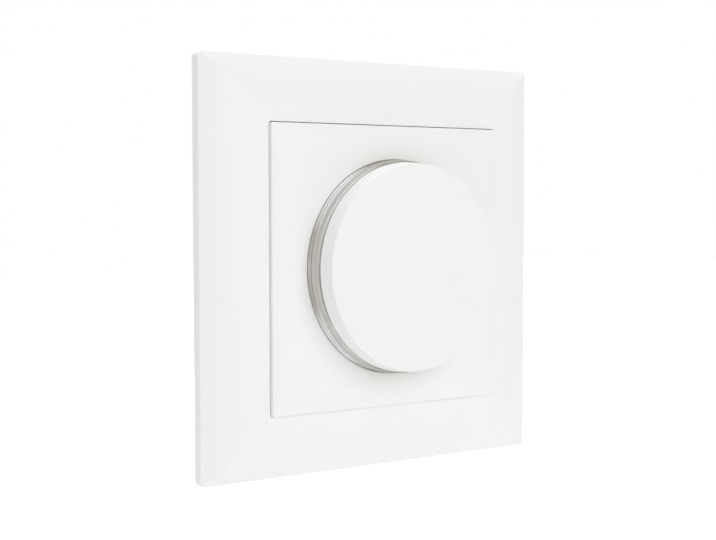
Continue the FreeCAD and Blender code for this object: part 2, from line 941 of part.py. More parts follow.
def switch_plunger():
    """Plunger that the spindle pushes onto the dome."""
    piece = Piece("switch_plunger")
    top = spindle_foot() - size.running_clearance
    under = top - size.plunger_thickness
    radius = size.switch_cavity_radius - size.plunger_clearance
    piece.turn(turned([
        (0, top), (radius, top), (radius, under),
        (size.plunger_nib_radius, under),
        (size.plunger_nib_radius, under - size.plunger_nib_length),
        (0, under - size.plunger_nib_length),
    ]))
    return piece


def switch_dome():
    """Sprung steel dome under the plunger."""
    piece = Piece("switch_dome")
    floor, rise, half = switch_floor(), size.dome_rise, size.dome_radius
    thickness = size.dome_thickness
    radius = (half * half + rise * rise) / (rise * 2)
    inner_half = half - thickness * 2
    inner_rise = rise - thickness
    inner_radius = (inner_half * inner_half + inner_rise * inner_rise) / (inner_rise * 2)
    piece.turn(Loop([
        (0, -(floor + inner_rise)), (inner_half, -floor), (half, -floor), (0, -(floor + rise)),
    ], {0: inner_radius, 2: -radius}))
    return piece


def encoder_pins():
    """Contact strips down the sides of the encoder and through the circuit board."""
    piece = Piece("encoder_pins", separate=True)
    low = -(size.board_depth + size.board_thickness + size.pin_reach)
    high = case_foot() + size.pin_reach
    place = pin_row()
    for side, places in ((-1, ROW_OF_THREE), (1, (-1, 1))):
        for step in places:
            piece.add(low, high, centred(
                size.pin_width, size.pin_thickness, size.pin_pitch * step, place * side,
            ))
    return piece


def pin_row():
    """Distance of the encoder's pins above and below its middle."""
    return (size.encoder_side + size.pin_thickness) / 2


def pin_holes():
    """Holes of the circuit board, round the encoder's pins and the link's pins."""
    wide = size.pin_width / 2 + size.pin_hole_clearance
    round_hole = size.link_pin_side / math.sqrt(2) + size.pin_hole_clearance
    holes = [
        Circle(wide, size.pin_pitch * step, pin_row() * side)
        for side, places in ((-1, ROW_OF_THREE), (1, (-1, 1))) for step in places
    ]
    return holes + [
        Circle(round_hole, size.link_pitch * step, size.link_height) for step in ROW_OF_THREE
    ]


def support_opening(clearance):
    """Outline of the insert cover's raised middle, or of the opening round it."""
    return barrel(size.hat_side / 2 + clearance, size.hat_radius + clearance)


def support_ring():
    """Steel plate that carries the insert on the wall, with the box screws' holes."""
    piece = Piece("support_ring")
    half = size.frame_side / 2 - size.frame_wall - size.support_margin
    place, thickness = half - size.box_screw_inset, size.support_thickness
    screws = [Circle(size.box_screw_radius, side * place, 0) for side in (1, -1)]
    slots = [
        slot(size.box_slot_length / 2, size.box_screw_radius, 0, side * place)
        for side in (1, -1)
    ]
    fixings = [
        Circle(size.screw_radius + size.screw_hole_clearance, across, up)
        for across, up in corners_of(size.boss_place, size.boss_place)
    ]
    piece.add(
        0, thickness, rounded_square(half, size.support_corner_radius),
        support_opening(size.lid_clearance), *screws, *slots, *fixings,
    )
    stem_out = size.plate_side / 2 - size.plate_wall + HOOK_BITE
    stem_in = stem_out - size.hook_thickness
    for across_side in (1, -1):
        for up_side in (1, -1):
            piece.cut(0, thickness, centred(
                size.hook_thickness + size.hook_play * 2, size.hook_width + size.hook_play * 2,
                (stem_in + stem_out) / 2 * across_side, size.hook_spread / 2 * up_side,
            ))
    return piece


def insert_housing():
    """Moulded housing behind the wall plane, with bosses, posts and openings at the back."""
    piece = Piece("insert_housing")
    half, radius, wall = size.housing_side / 2, size.housing_radius, size.housing_wall
    back, floor = -size.housing_depth, housing_floor()
    piece.add(back, 0, barrel(half, radius))
    piece.dress("Fillet", "back_edge", size.housing_edge_round, lambda edge: at_height(edge, back))
    piece.cut(floor, 0, barrel(half - wall, radius - wall))
    piece.cut(-size.lid_thickness, 0, barrel(half - size.lid_rim, radius - size.lid_rim))
    boss_places = corners_of(size.boss_place, size.boss_place)
    piece.add(floor, -size.lid_thickness, *[
        Circle(size.boss_radius, across, up) for across, up in boss_places
    ])
    piece.add(floor, board_back(), *[
        Circle(size.post_radius, across, up)
        for across, up in corners_of(size.post_across, size.post_up)
    ])
    pilot_depth = size.screw_length - size.support_thickness + PILOT_REST
    piece.cut(-pilot_depth, -size.lid_thickness, *[
        Circle(size.screw_radius + size.thread_clearance, across, up)
        for across, up in boss_places
    ])
    clear = size.terminal_clearance
    piece.cut(back, floor, rectangle(
        -(size.terminal_block_width / 2 + clear), -terminal_low(),
        size.terminal_block_width / 2 + clear, -terminal_low() + size.terminal_block_height + clear,
    ))
    vent = piece.cut(back, floor, slot(
        size.vent_length / 2, size.vent_width / 2, 0, size.vent_height,
    ))
    piece.along([vent], "Z_Axis", size.vent_pitch, VENT_COUNT)
    piece.cut(-half, -(half - wall), *[
        Circle(size.access_radius, across, -terminal_middle()) for across in terminal_places()
    ], plane=Piece.TOP)
    return piece


def housing_floor():
    """Height of the floor inside the housing."""
    return size.housing_wall - size.housing_depth


def board_back():
    """Height of the circuit board's back face."""
    return -(size.board_depth + size.board_thickness)


def terminal_low():
    """Distance below the middle of the terminal block's lower face."""
    return size.housing_side / 2 - size.housing_wall


def terminal_places():
    """Distances across of the terminals."""
    return [size.terminal_pitch * step for step in ROW_OF_THREE]


def cell_front():
    """Height of the front end of the terminal block's cells."""
    return board_back() - size.terminal_front_wall


def cell_back():
    """Height of the back end of the terminal block's cells."""
    return -size.housing_depth + size.terminal_back_wall


def cell_roof():
    """Place of the roof of the terminal block's cells, above the middle."""
    return size.terminal_block_height - size.terminal_roof - terminal_low()


def terminal_middle():
    """Height of the terminal screws, midway along the cells."""
    return (cell_front() + cell_back()) / 2


def insert_cover():
    """Cover of the insert, with a raised middle that carries the encoder, and four pillars."""
    piece = Piece("insert_cover")
    inset = size.lid_rim + size.lid_clearance
    half, radius = size.housing_side / 2 - inset, size.housing_radius - inset
    piece.add(-size.lid_thickness, 0, barrel(half, radius))
    piece.add(0, size.hat_height, support_opening(0))
    piece.cut(-size.lid_thickness, encoder_front(), support_opening(-size.hat_wall))
    link_half = size.link_pitch * 2
    piece.cut(
        encoder_front(), size.hat_height, Circle(bush_hole()),
        slot(link_half, size.link_pitch / 2, 0, size.link_height),
    )
    piece.add(-size.board_depth, -size.lid_thickness, *[
        Circle(size.post_radius, across, up)
        for across, up in corners_of(size.post_across, size.post_up)
    ])
    piece.cut(-size.lid_thickness, 0, *[
        Circle(size.screw_radius + size.screw_hole_clearance, across, up)
        for across, up in corners_of(size.boss_place, size.boss_place)
    ])
    return piece


def housing_screws():
    """Four screws that hold the support ring and the insert cover to the housing."""
    piece = Piece("housing_screws", separate=True)
    places = corners_of(size.boss_place, size.boss_place)
    seat = size.support_thickness
    top = seat + size.screw_head_height
    piece.add(seat, top, *[Circle(size.screw_head_radius, x, z) for x, z in places])
    piece.dress("Fillet", "heads", size.screw_head_height / 2, lambda edge: at_height(edge, top))
    piece.add(seat - size.screw_length, seat, *[
        Circle(size.screw_radius, x, z) for x, z in places
    ])
    piece.cut(top - size.slot_depth, top, *[
        centred(size.screw_head_radius * 2, size.slot_width, x, z) for x, z in places
    ])
    return piece


def circuit_board():
    """Circuit board on the housing's posts, notched round the screw bosses."""
    piece = Piece("circuit_board")
    inset = size.housing_wall + size.board_clearance
    half, radius = size.housing_side / 2 - inset, size.housing_radius - inset
    front = -size.board_depth
    piece.add(board_back(), front, barrel(half, radius), *pin_holes())
    piece.cut(board_back(), front, *[
        Circle(size.boss_radius + size.board_clearance, across, up)
        for across, up in corners_of(size.boss_place, size.boss_place)
    ])
    return piece


def control_chip():
    """Control chip on the front of the circuit board."""
    piece = Piece("control_chip")
    front = -size.board_depth
    piece.add(front, front + size.chip_height, centred(
        size.chip_side, size.chip_side, size.chip_across, size.chip_up,
    ))
    return piece


def led_board():
    """Ring-shaped board on the insert cover, round the nut."""
    piece = Piece("led_board")
    low = size.hat_height
    hole = size.link_pin_side / math.sqrt(2) + size.pin_hole_clearance
    piece.add(
        low, low + size.led_board_thickness,
        Circle(ring_flange()), Circle(size.led_board_hole),
        *[Circle(hole, size.link_pitch * step, size.link_height) for step in ROW_OF_THREE],
    )
    return piece


def ring_leds():
    """Small lamps on the ring-shaped board, under the light ring's flange."""
    piece = Piece("ring_leds", separate=True)
    low = size.hat_height + size.led_board_thickness
    lamp = piece.add(low, low + size.led_height, centred(
        size.led_side, size.led_side, size.ring_radius - size.ring_wall / 2, 0,
    ))
    piece.around([lamp], LED_COUNT)
    return piece


def link_pins():
    """Three pins that join the circuit board to the ring-shaped board."""
    piece = Piece("link_pins", separate=True)
    top = size.hat_height + size.led_board_thickness + size.link_pin_side
    side = size.link_pin_side
    piece.add(board_back() - size.pin_reach, top, *[
        centred(side, side, size.link_pitch * step, size.link_height) for step in ROW_OF_THREE
    ])
    return piece


def link_spacer():
    """Moulded strip that holds the three pins on the circuit board."""
    piece = Piece("link_spacer")
    front = -size.board_depth
    hole = size.link_pin_side + size.thread_clearance * 2
    piece.add(
        front, front + size.link_spacer_height,
        centred(size.link_pitch * 3, size.link_spacer_width, 0, size.link_height),
        *[centred(hole, hole, size.link_pitch * step, size.link_height) for step in ROW_OF_THREE],
    )
    return piece


def choke_heights():
    """Heights of the back and front faces of the choke's core."""
    front = board_back() - size.choke_wire
    return front - size.choke_core_height, front


def choke_core():
    """Iron powder ring of the choke."""
    piece = Piece("choke_core")
    low, high = choke_heights()
    half = size.choke_core_width / 2
    piece.add(low, high, Circle(size.choke_radius + half), Circle(size.choke_radius - half))
    bind(piece.body, "Placement.Base.x", size.choke_across)
    return piece


def choke_winding():
    """Turns of enamelled wire round the choke's core."""
    piece = Piece("choke_winding", separate=True)
    low, high = choke_heights()
    half, wire = size.choke_core_width / 2, size.choke_wire
    play = size.thread_clearance
    near, far = size.choke_radius - half - play, size.choke_radius + half + play
    outside = rounded(near - wire, -high - wire, far + wire, -low + wire, wire)
    inside = rectangle(near, -high - play, far, -low + play)
    turn = piece.add(-wire / 2, wire / 2, outside, inside, plane=Piece.TOP)
    piece.around([turn], WINDING_TURNS)
    bind(piece.body, "Placement.Base.x", size.choke_across)
    return piece


def film_capacitor():
    """Film capacitor on the back of the circuit board."""
    piece = Piece("film_capacitor")
    across, up = size.capacitor_across, size.capacitor_up
    wide, high = size.capacitor_width / 2, size.capacitor_breadth / 2
    piece.add(housing_floor() + size.capacitor_floor_gap, board_back(), rounded(
        across - wide, up - high, across + wide, up + high, size.capacitor_breadth / 8,
    ))
    return piece


def fuse_link():
    """Round fuse on the back of the circuit board."""
    piece = Piece("fuse_link")
    piece.add(board_back() - size.fuse_height, board_back(), Circle(
        size.fuse_radius, size.fuse_across, size.fuse_up,
    ))
    return piece


def spreader_low():
    """Distance above the middle of the heat spreader's inner face."""
    return size.housing_side / 2 - size.housing_wall - size.spreader_thickness


def power_transistors():
    """Two switching transistors with their backs on the heat spreader."""
    piece = Piece("power_transistors", separate=True)
    up = spreader_low() - size.transistor_thickness / 2
    piece.add(housing_floor() + size.transistor_floor_gap, board_back(), *[
        centred(size.transistor_width, size.transistor_thickness,
                size.transistor_across * side, up)
        for side in (1, -1)
    ])
    return piece


def heat_spreader():
    """Aluminium strip along the top of the housing."""
    piece = Piece("heat_spreader")
    half = size.spreader_width / 2
    piece.add(housing_floor(), board_back(), rectangle(
        -half, spreader_low(), half, spreader_low() + size.spreader_thickness,
    ))
    return piece


def wire_level():
    """Place of the wire holes, above the middle."""
    return cell_roof() - size.wire_drop


def terminal_block():
    """Moulded block with three cells that open downward and three wire entries at the back."""
    piece = Piece("terminal_block")
    half, low = size.terminal_block_width / 2, -terminal_low()
    piece.add(-size.housing_depth, board_back(), rectangle(
        -half, low, half, low + size.terminal_block_height,
    ))
    piece.cut(low, cell_roof(), *[
        rectangle(
            across - size.terminal_cell_width / 2, -cell_front(),
            across + size.terminal_cell_width / 2, -cell_back(),
        )
        for across in terminal_places()
    ], plane=Piece.TOP)
    piece.cut(-size.housing_depth, cell_back(), *[
        Circle(size.wire_radius, across, wire_level()) for across in terminal_places()
    ])
    return piece


def clamp_foot():
    """Place of the clamps' lower faces, above the middle."""
    return cell_roof() - size.terminal_clamp_height


def terminal_clamps():
    """Three brass clamps, each a square cage with a tapped hole across it."""
    piece = Piece("terminal_clamps", separate=True)
    clear = size.terminal_clearance
    low, high = cell_back() + clear, cell_front() - clear
    half = size.terminal_cell_width / 2 - clear
    places = terminal_places()
    piece.add(low, high, *[
        rectangle(across - half, clamp_foot(), across + half, cell_roof()) for across in places
    ])
    piece.cut(low, high, *[
        centred(size.clamp_opening, size.clamp_opening, across, wire_level())
        for across in places
    ])
    thread = size.terminal_screw_radius + size.thread_clearance
    piece.cut(clamp_foot(), wire_level(), *[
        Circle(thread, across, -terminal_middle()) for across in places
    ], plane=Piece.TOP)
    return piece


def terminal_screws():
    """Three slotted screws, backed out of the wire holes."""
    piece = Piece("terminal_screws", separate=True)
    tip = wire_level() - size.clamp_opening / 2 - size.screw_tip_gap
    shoulder = tip - size.terminal_screw_length
    foot = shoulder - size.terminal_head_height
    places, depth = terminal_places(), -terminal_middle()
    piece.add(shoulder, tip, *[
        Circle(size.terminal_screw_radius, across, depth) for across in places
    ], plane=Piece.TOP)
    piece.add(foot, shoulder, *[
        Circle(size.terminal_head_radius, across, depth) for across in places
    ], plane=Piece.TOP)
    piece.cut(foot, foot + size.slot_depth, *[
        centred(size.terminal_head_radius * 2, size.slot_width, across, depth)
        for across in places
    ], plane=Piece.TOP)
    return piece


MAKERS = (
    cover_frame, centre_plate, light_ring, knob_cap, shaft_clip, spindle,
    encoder_bushing, lock_washer, hex_nut, encoder_case, detent_wheel, detent_spring,
    encoder_pins, switch_base, switch_dome, switch_plunger,
    support_ring, insert_housing, insert_cover, housing_screws,
    circuit_board, control_chip, led_board, ring_leds, link_pins, link_spacer,
    choke_core, choke_winding, film_capacitor, fuse_link, power_transistors, heat_spreader,
    terminal_block, terminal_clamps, terminal_screws,
)


def build():
    """Build every piece, check it and write it to its own file."""
    pieces = [maker() for maker in MAKERS]
    doc.recompute()
    for thing in doc.Objects:
        if "Invalid" in thing.State or "Error" in thing.State:
            raise RuntimeError(f"{thing.Name} has failed")
    for piece in pieces:
        shape = piece.body.Shape
        if shape.isNull() or not shape.isValid():
            raise RuntimeError(f"{piece.body.Label} has no valid shape")
    os.makedirs("parts", exist_ok=True)
    for piece in pieces:
        shape = piece.body.Shape
        shape.exportStep(f"parts/{piece.body.Label}.step")
        print(f"{piece.body.Label}: {len(shape.Solids)} solids, {shape.Volume:.1f} mm3")


build()
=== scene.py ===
"""Looks of a rotary dimmer switch: finishes, fine forms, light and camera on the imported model."""

import json
import logging
import math
from collections.abc import Iterable, Sequence
from dataclasses import dataclass
from enum import Enum

import bmesh
import bpy
from mathutils import Matrix, Vector

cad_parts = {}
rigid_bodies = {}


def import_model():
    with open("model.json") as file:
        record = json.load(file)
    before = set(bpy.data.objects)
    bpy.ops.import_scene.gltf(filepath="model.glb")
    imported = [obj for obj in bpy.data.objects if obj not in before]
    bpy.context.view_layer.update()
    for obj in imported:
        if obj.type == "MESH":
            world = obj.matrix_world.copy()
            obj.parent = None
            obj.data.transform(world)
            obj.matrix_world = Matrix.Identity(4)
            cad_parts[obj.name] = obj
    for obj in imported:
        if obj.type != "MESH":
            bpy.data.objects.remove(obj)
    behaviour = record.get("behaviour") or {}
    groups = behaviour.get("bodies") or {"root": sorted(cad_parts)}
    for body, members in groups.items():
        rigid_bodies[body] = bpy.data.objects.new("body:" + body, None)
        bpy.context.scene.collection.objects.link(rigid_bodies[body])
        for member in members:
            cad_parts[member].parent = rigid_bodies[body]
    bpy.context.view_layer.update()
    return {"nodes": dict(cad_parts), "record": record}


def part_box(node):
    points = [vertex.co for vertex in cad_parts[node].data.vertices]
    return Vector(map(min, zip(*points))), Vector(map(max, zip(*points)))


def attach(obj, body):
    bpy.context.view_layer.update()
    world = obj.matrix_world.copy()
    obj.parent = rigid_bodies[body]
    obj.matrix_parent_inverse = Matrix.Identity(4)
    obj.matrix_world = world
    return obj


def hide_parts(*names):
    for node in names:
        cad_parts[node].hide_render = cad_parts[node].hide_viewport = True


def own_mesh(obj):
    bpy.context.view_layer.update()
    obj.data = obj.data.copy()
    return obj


LOG = logging.getLogger("dimmer")
MM = 0.001
QUARTER_TURN = math.pi / 2
CREASE = math.radians(25)
WELD = 1e-4 * MM

# sockets of the Mix node, whose names repeat
MIX_SHARE = 0
VECTOR_A, VECTOR_B, VECTOR_RESULT = 4, 5, 1
COLOUR_A, COLOUR_B, COLOUR_RESULT = 6, 7, 2

Tree = bpy.types.NodeTree
Node = bpy.types.Node
Socket = bpy.types.NodeSocket
Material = bpy.types.Material
Mesh = bpy.types.Mesh
Piece = bpy.types.Object
Colour = tuple[float, float, float]
Place = tuple[float, float, float]


def group_sockets(group: Tree, wanted: Iterable[tuple[str, str, str, float | None]]) -> None:
    """Makes a node group's sockets.

    Args:
        group: the node group.
        wanted: name, "INPUT" or "OUTPUT", socket type and default of each socket.
    """
    for name, side, kind, default in wanted:
        socket = group.interface.new_socket(name=name, in_out=side, socket_type=kind)
        if default is not None:
            socket.default_value = default


def fill(tree: Tree, socket: Socket, value: object) -> None:
    """Gives an input a link or a constant.

    Args:
        tree: the tree.
        socket: the input.
        value: a socket to link it to, or a constant.
    """
    if isinstance(value, Socket):
        tree.links.new(value, socket)
    else:
        socket.default_value = value


def added(
    tree: Tree, kind: str, inputs: dict[str | int, object] | None = None, **settings: object
) -> Node:
    """Adds a node, sets it up and fills its inputs.

    Args:
        tree: the tree.
        kind: the node's type.
        inputs: what each input takes, by its name or number: a socket or a constant.
        settings: the node's own choices, such as its operation.

    Returns:
        The node.
    """
    node = tree.nodes.new(kind)
    for name, value in settings.items():
        setattr(node, name, value)
    for name, value in (inputs or {}).items():
        fill(tree, node.inputs[name], value)
    return node


def worked(tree: Tree, operation: str, first: object, second: object = 0.0) -> Socket:
    """Works out a value from one or two others, each a socket or a number."""
    return added(tree, "ShaderNodeMath", {0: first, 1: second}, operation=operation).outputs[0]


def ranged(
    tree: Tree, value: Socket, start: float, end: float, low: float = 0.0, high: float = 1.0,
    slope: str = "SMOOTHSTEP",
) -> Socket:
    """Maps a value from one range to another, and holds it at both ends.

    Args:
        tree: the tree.
        value: the value that it reads.
        start: the value that gives low.
        end: the value that gives high.
        low: the result at the start.
        high: the result at the end.
        slope: how it goes from one to the other.

    Returns:
        The result's socket.
    """
    node = added(tree, "ShaderNodeMapRange", {
        "Value": value, "From Min": start, "From Max": end, "To Min": low, "To Max": high,
    }, interpolation_type=slope)
    return node.outputs["Result"]


def mixed(tree: Tree, share: object, first: Socket, second: object, blend: str = "MIX") -> Socket:
    """Mixes two colours.

    Args:
        tree: the tree.
        share: how much of the second it takes, a socket or a number.
        first: the first colour.
        second: the second, a socket or a colour of four numbers.
        blend: how they are mixed.

    Returns:
        The result's socket.
    """
    inputs = {MIX_SHARE: share, COLOUR_A: first, COLOUR_B: second}
    node = added(tree, "ShaderNodeMix", inputs, data_type="RGBA", blend_type=blend)
    return node.outputs[COLOUR_RESULT]


def tinted(tree: Tree, colour: Socket, tint: object, share: object = 1.0) -> Socket:
    """Multiplies a colour by a tint, as far as the share says."""
    return mixed(tree, share, colour, tint, "MULTIPLY")


def about_one(tree: Tree, value: Socket, spread: Socket) -> Socket:
    """Turns a 0 to 1 value into one on both sides of 1.

    Args:
        tree: the tree.
        value: a socket between 0 and 1.
        spread: the whole range of the result.

    Returns:
        The result's socket.
    """
    centred = worked(tree, "SUBTRACT", value, 0.5)
    scaled = added(tree, "ShaderNodeMath", {0: centred, 1: spread, 2: 1.0}, operation="MULTIPLY_ADD")
    return scaled.outputs[0]


def noise(tree: Tree, place: Socket, scale: object, detail: float, strength: float) -> Socket:
    """Adds a noise texture.

    Args:
        tree: the tree.
        place: the coordinates that it reads.
        scale: its scale, a socket or a number.
        detail: how many finer layers it has.
        strength: how strong the finer layers are.

    Returns:
        A value socket.
    """
    node = added(tree, "ShaderNodeTexNoise", {
        "Vector": place, "Scale": scale, "Detail": detail, "Roughness": strength,
    })
    return node.outputs["Fac"]


def drawn_out(tree: Tree, place: Socket, scale: Place) -> Socket:
    """Stretches coordinates, so that what reads them is drawn out into lines."""
    return added(tree, "ShaderNodeMapping", {"Vector": place, "Scale": scale}).outputs["Vector"]


def own_place(tree: Tree) -> Socket:
    """The coordinates of the object itself."""
    return added(tree, "ShaderNodeTexCoord").outputs["Object"]


@dataclass(frozen=True)
class Layer:
    """One noise layer of a skin. Its scale is an input of the skin's group."""

    scale_name: str
    detail: float
    strength: float
    stretch: Place | None = None

    def value(self, group: Tree, entry: Node, place: Socket) -> Socket:
        """Adds the layer to a group.

        Args:
            group: the group.
            entry: its input node.
            place: object coordinates.

        Returns:
            A value socket.
        """
        if self.stretch:
            place = drawn_out(group, place, self.stretch)
        return noise(group, place, entry.outputs[self.scale_name], self.detail, self.strength)


@dataclass(frozen=True)
class Skin:
    """A shader group that materials share: it varies the colour and the gloss and gives a height."""

    name: str
    broad: Layer
    fine: Layer
    gloss_from_fine: bool

    def group(self) -> Tree:
        """Builds the group when it is first wanted.

        Returns:
            The group.
        """
        if self.name in bpy.data.node_groups:
            return bpy.data.node_groups[self.name]
        group = bpy.data.node_groups.new(self.name, "ShaderNodeTree")
        numbers = ("Roughness", "Tone Spread", "Gloss Spread", self.broad.scale_name, self.fine.scale_name)
        group_sockets(group, [
            ("Colour", "INPUT", "NodeSocketColor", None),
            *((name, "INPUT", "NodeSocketFloat", None) for name in numbers),
            ("Colour", "OUTPUT", "NodeSocketColor", None),
            ("Roughness", "OUTPUT", "NodeSocketFloat", None),
            ("Height", "OUTPUT", "NodeSocketFloat", None),
        ])
        entry = added(group, "NodeGroupInput")
        place = own_place(group)
        broad = self.broad.value(group, entry, place)
        fine = self.fine.value(group, entry, place)
        tone = about_one(group, broad, entry.outputs["Tone Spread"])
        gloss = about_one(group, fine if self.gloss_from_fine else broad, entry.outputs["Gloss Spread"])
        added(group, "NodeGroupOutput", {
            "Colour": tinted(group, entry.outputs["Colour"], tone),
            "Roughness": worked(group, "MULTIPLY", entry.outputs["Roughness"], gloss),
            "Height": fine,
        })
        return group

    def join(self, material: Material, shader: Node, values: dict[str, object], depth: float) -> Node:
        """Places the group in a material and joins it to the shader.

        Args:
            material: the material.
            shader: its Principled shader.
            values: the group's inputs by name.
            depth: the bump's height in metres.

        Returns:
            The bump node.
        """
        tree = material.node_tree
        skin = added(tree, "ShaderNodeGroup", values, node_tree=self.group())
        fill(tree, shader.inputs["Base Color"], skin.outputs["Colour"])
        fill(tree, shader.inputs["Roughness"], skin.outputs["Roughness"])
        bump = added(tree, "ShaderNodeBump", {
            "Strength": 1.0, "Distance": depth, "Height": skin.outputs["Height"],
        })
        fill(tree, shader.inputs["Normal"], bump.outputs["Normal"])
        return bump


MOULDED_GRAIN = Skin("moulded grain", Layer("Cloud Scale", 2.0, 0.5), Layer("Grain Scale", 3.0, 0.6), True)
METAL_SKIN = Skin(
    "metal skin", Layer("Bloom Scale", 4.0, 0.6), Layer("Line Scale", 2.0, 0.5, (0.06, 1.0, 1.0)), False
)


def new_material(name: str) -> tuple[Material, Node]:
    """Makes a material with one Principled shader.

    Args:
        name: the material's name.

    Returns:
        The material and its shader node.
    """
    material = bpy.data.materials.new(name)
    material.use_nodes = True
    return material, material.node_tree.nodes["Principled BSDF"]


@dataclass(frozen=True)
class SoftMitre:
    """The rubbed-down mitres of the cover frame. Lengths are metres."""

    reach: float = 2.2 * MM
    width: float = 2.6 * MM
    inner: float = 29.0 * MM
    outer: float = 38.2 * MM
    fade: float = 0.8 * MM
    samples: int = 8

    def mask(self, tree: Tree) -> Socket:
        """One along the frame's four mitres, nought elsewhere.

        Args:
            tree: the material's tree.

        Returns:
            A value socket.
        """
        apart = added(tree, "ShaderNodeSeparateXYZ", {0: own_place(tree)})
        across = worked(tree, "ABSOLUTE", apart.outputs["X"])
        upward = worked(tree, "ABSOLUTE", apart.outputs["Z"])
        off = worked(tree, "ABSOLUTE", worked(tree, "SUBTRACT", across, upward))
        far = worked(tree, "MAXIMUM", across, upward)
        near_line = ranged(tree, off, self.width, 0.0)
        past_inner = ranged(tree, far, self.inner, self.inner + self.fade)
        before_outer = ranged(tree, far, self.outer + self.fade, self.outer)
        return worked(tree, "MULTIPLY", worked(tree, "MULTIPLY", near_line, past_inner), before_outer)

    def join(self, tree: Tree, bump: Node) -> None:
        """Feeds the softened normal to a material's bump.

        Args:
            tree: the material's tree.
            bump: its bump node.
        """
        soft = added(tree, "ShaderNodeBevel", {"Radius": self.reach}, samples=self.samples)
        mix = added(tree, "ShaderNodeMix", {
            MIX_SHARE: self.mask(tree),
            VECTOR_A: added(tree, "ShaderNodeNewGeometry").outputs["Normal"],
            VECTOR_B: soft.outputs["Normal"],
        }, data_type="VECTOR")
        blend = mix.outputs[VECTOR_RESULT]
        unit = added(tree, "ShaderNodeVectorMath", {0: blend}, operation="NORMALIZE")
        fill(tree, bump.inputs["Normal"], unit.outputs[0])


@dataclass(frozen=True)
class Moulded:
    """A moulded plastic: its colour, gloss and grain. Lengths are metres."""

    name: str
    colour: Colour
    roughness: float
    grain: float
    depth: float
    tone_spread: float = 0.02
    gloss_spread: float = 0.2
    cloud: float = 12 * MM
    mitre: SoftMitre | None = None

    def material(self) -> Material:
        """Makes the finish as a material.

        Returns:
            The material.
        """
        material, shader = new_material(self.name)
        bump = MOULDED_GRAIN.join(material, shader, {
            "Colour": (*self.colour, 1.0),
            "Roughness": self.roughness,
            "Grain Scale": 1.0 / self.grain,
            "Cloud Scale": 1.0 / self.cloud,
            "Tone Spread": self.tone_spread,
            "Gloss Spread": self.gloss_spread,
        }, self.depth)
        if self.mitre:
            self.mitre.join(material.node_tree, bump)
        return material


@dataclass(frozen=True)
class Metal:
    """A metal: its colour, gloss, bloom and lines. Lengths are metres."""

    name: str
    colour: Colour
    roughness: float
    bloom: float = 2 * MM
    lines: float = 0.15 * MM
    depth: float = 0.004 * MM
    tone_spread: float = 0.25
    gloss_spread: float = 0.8

    def material(self) -> Material:
        """Makes the finish as a material.

        Returns:
            The material.
        """
        material, shader = new_material(self.name)
        shader.inputs["Metallic"].default_value = 1.0
        METAL_SKIN.join(material, shader, {
            "Colour": (*self.colour, 1.0),
            "Roughness": self.roughness,
            "Bloom Scale": 1.0 / self.bloom,
            "Line Scale": 1.0 / self.lines,
            "Tone Spread": self.tone_spread,
            "Gloss Spread": self.gloss_spread,
        }, self.depth)
        return material


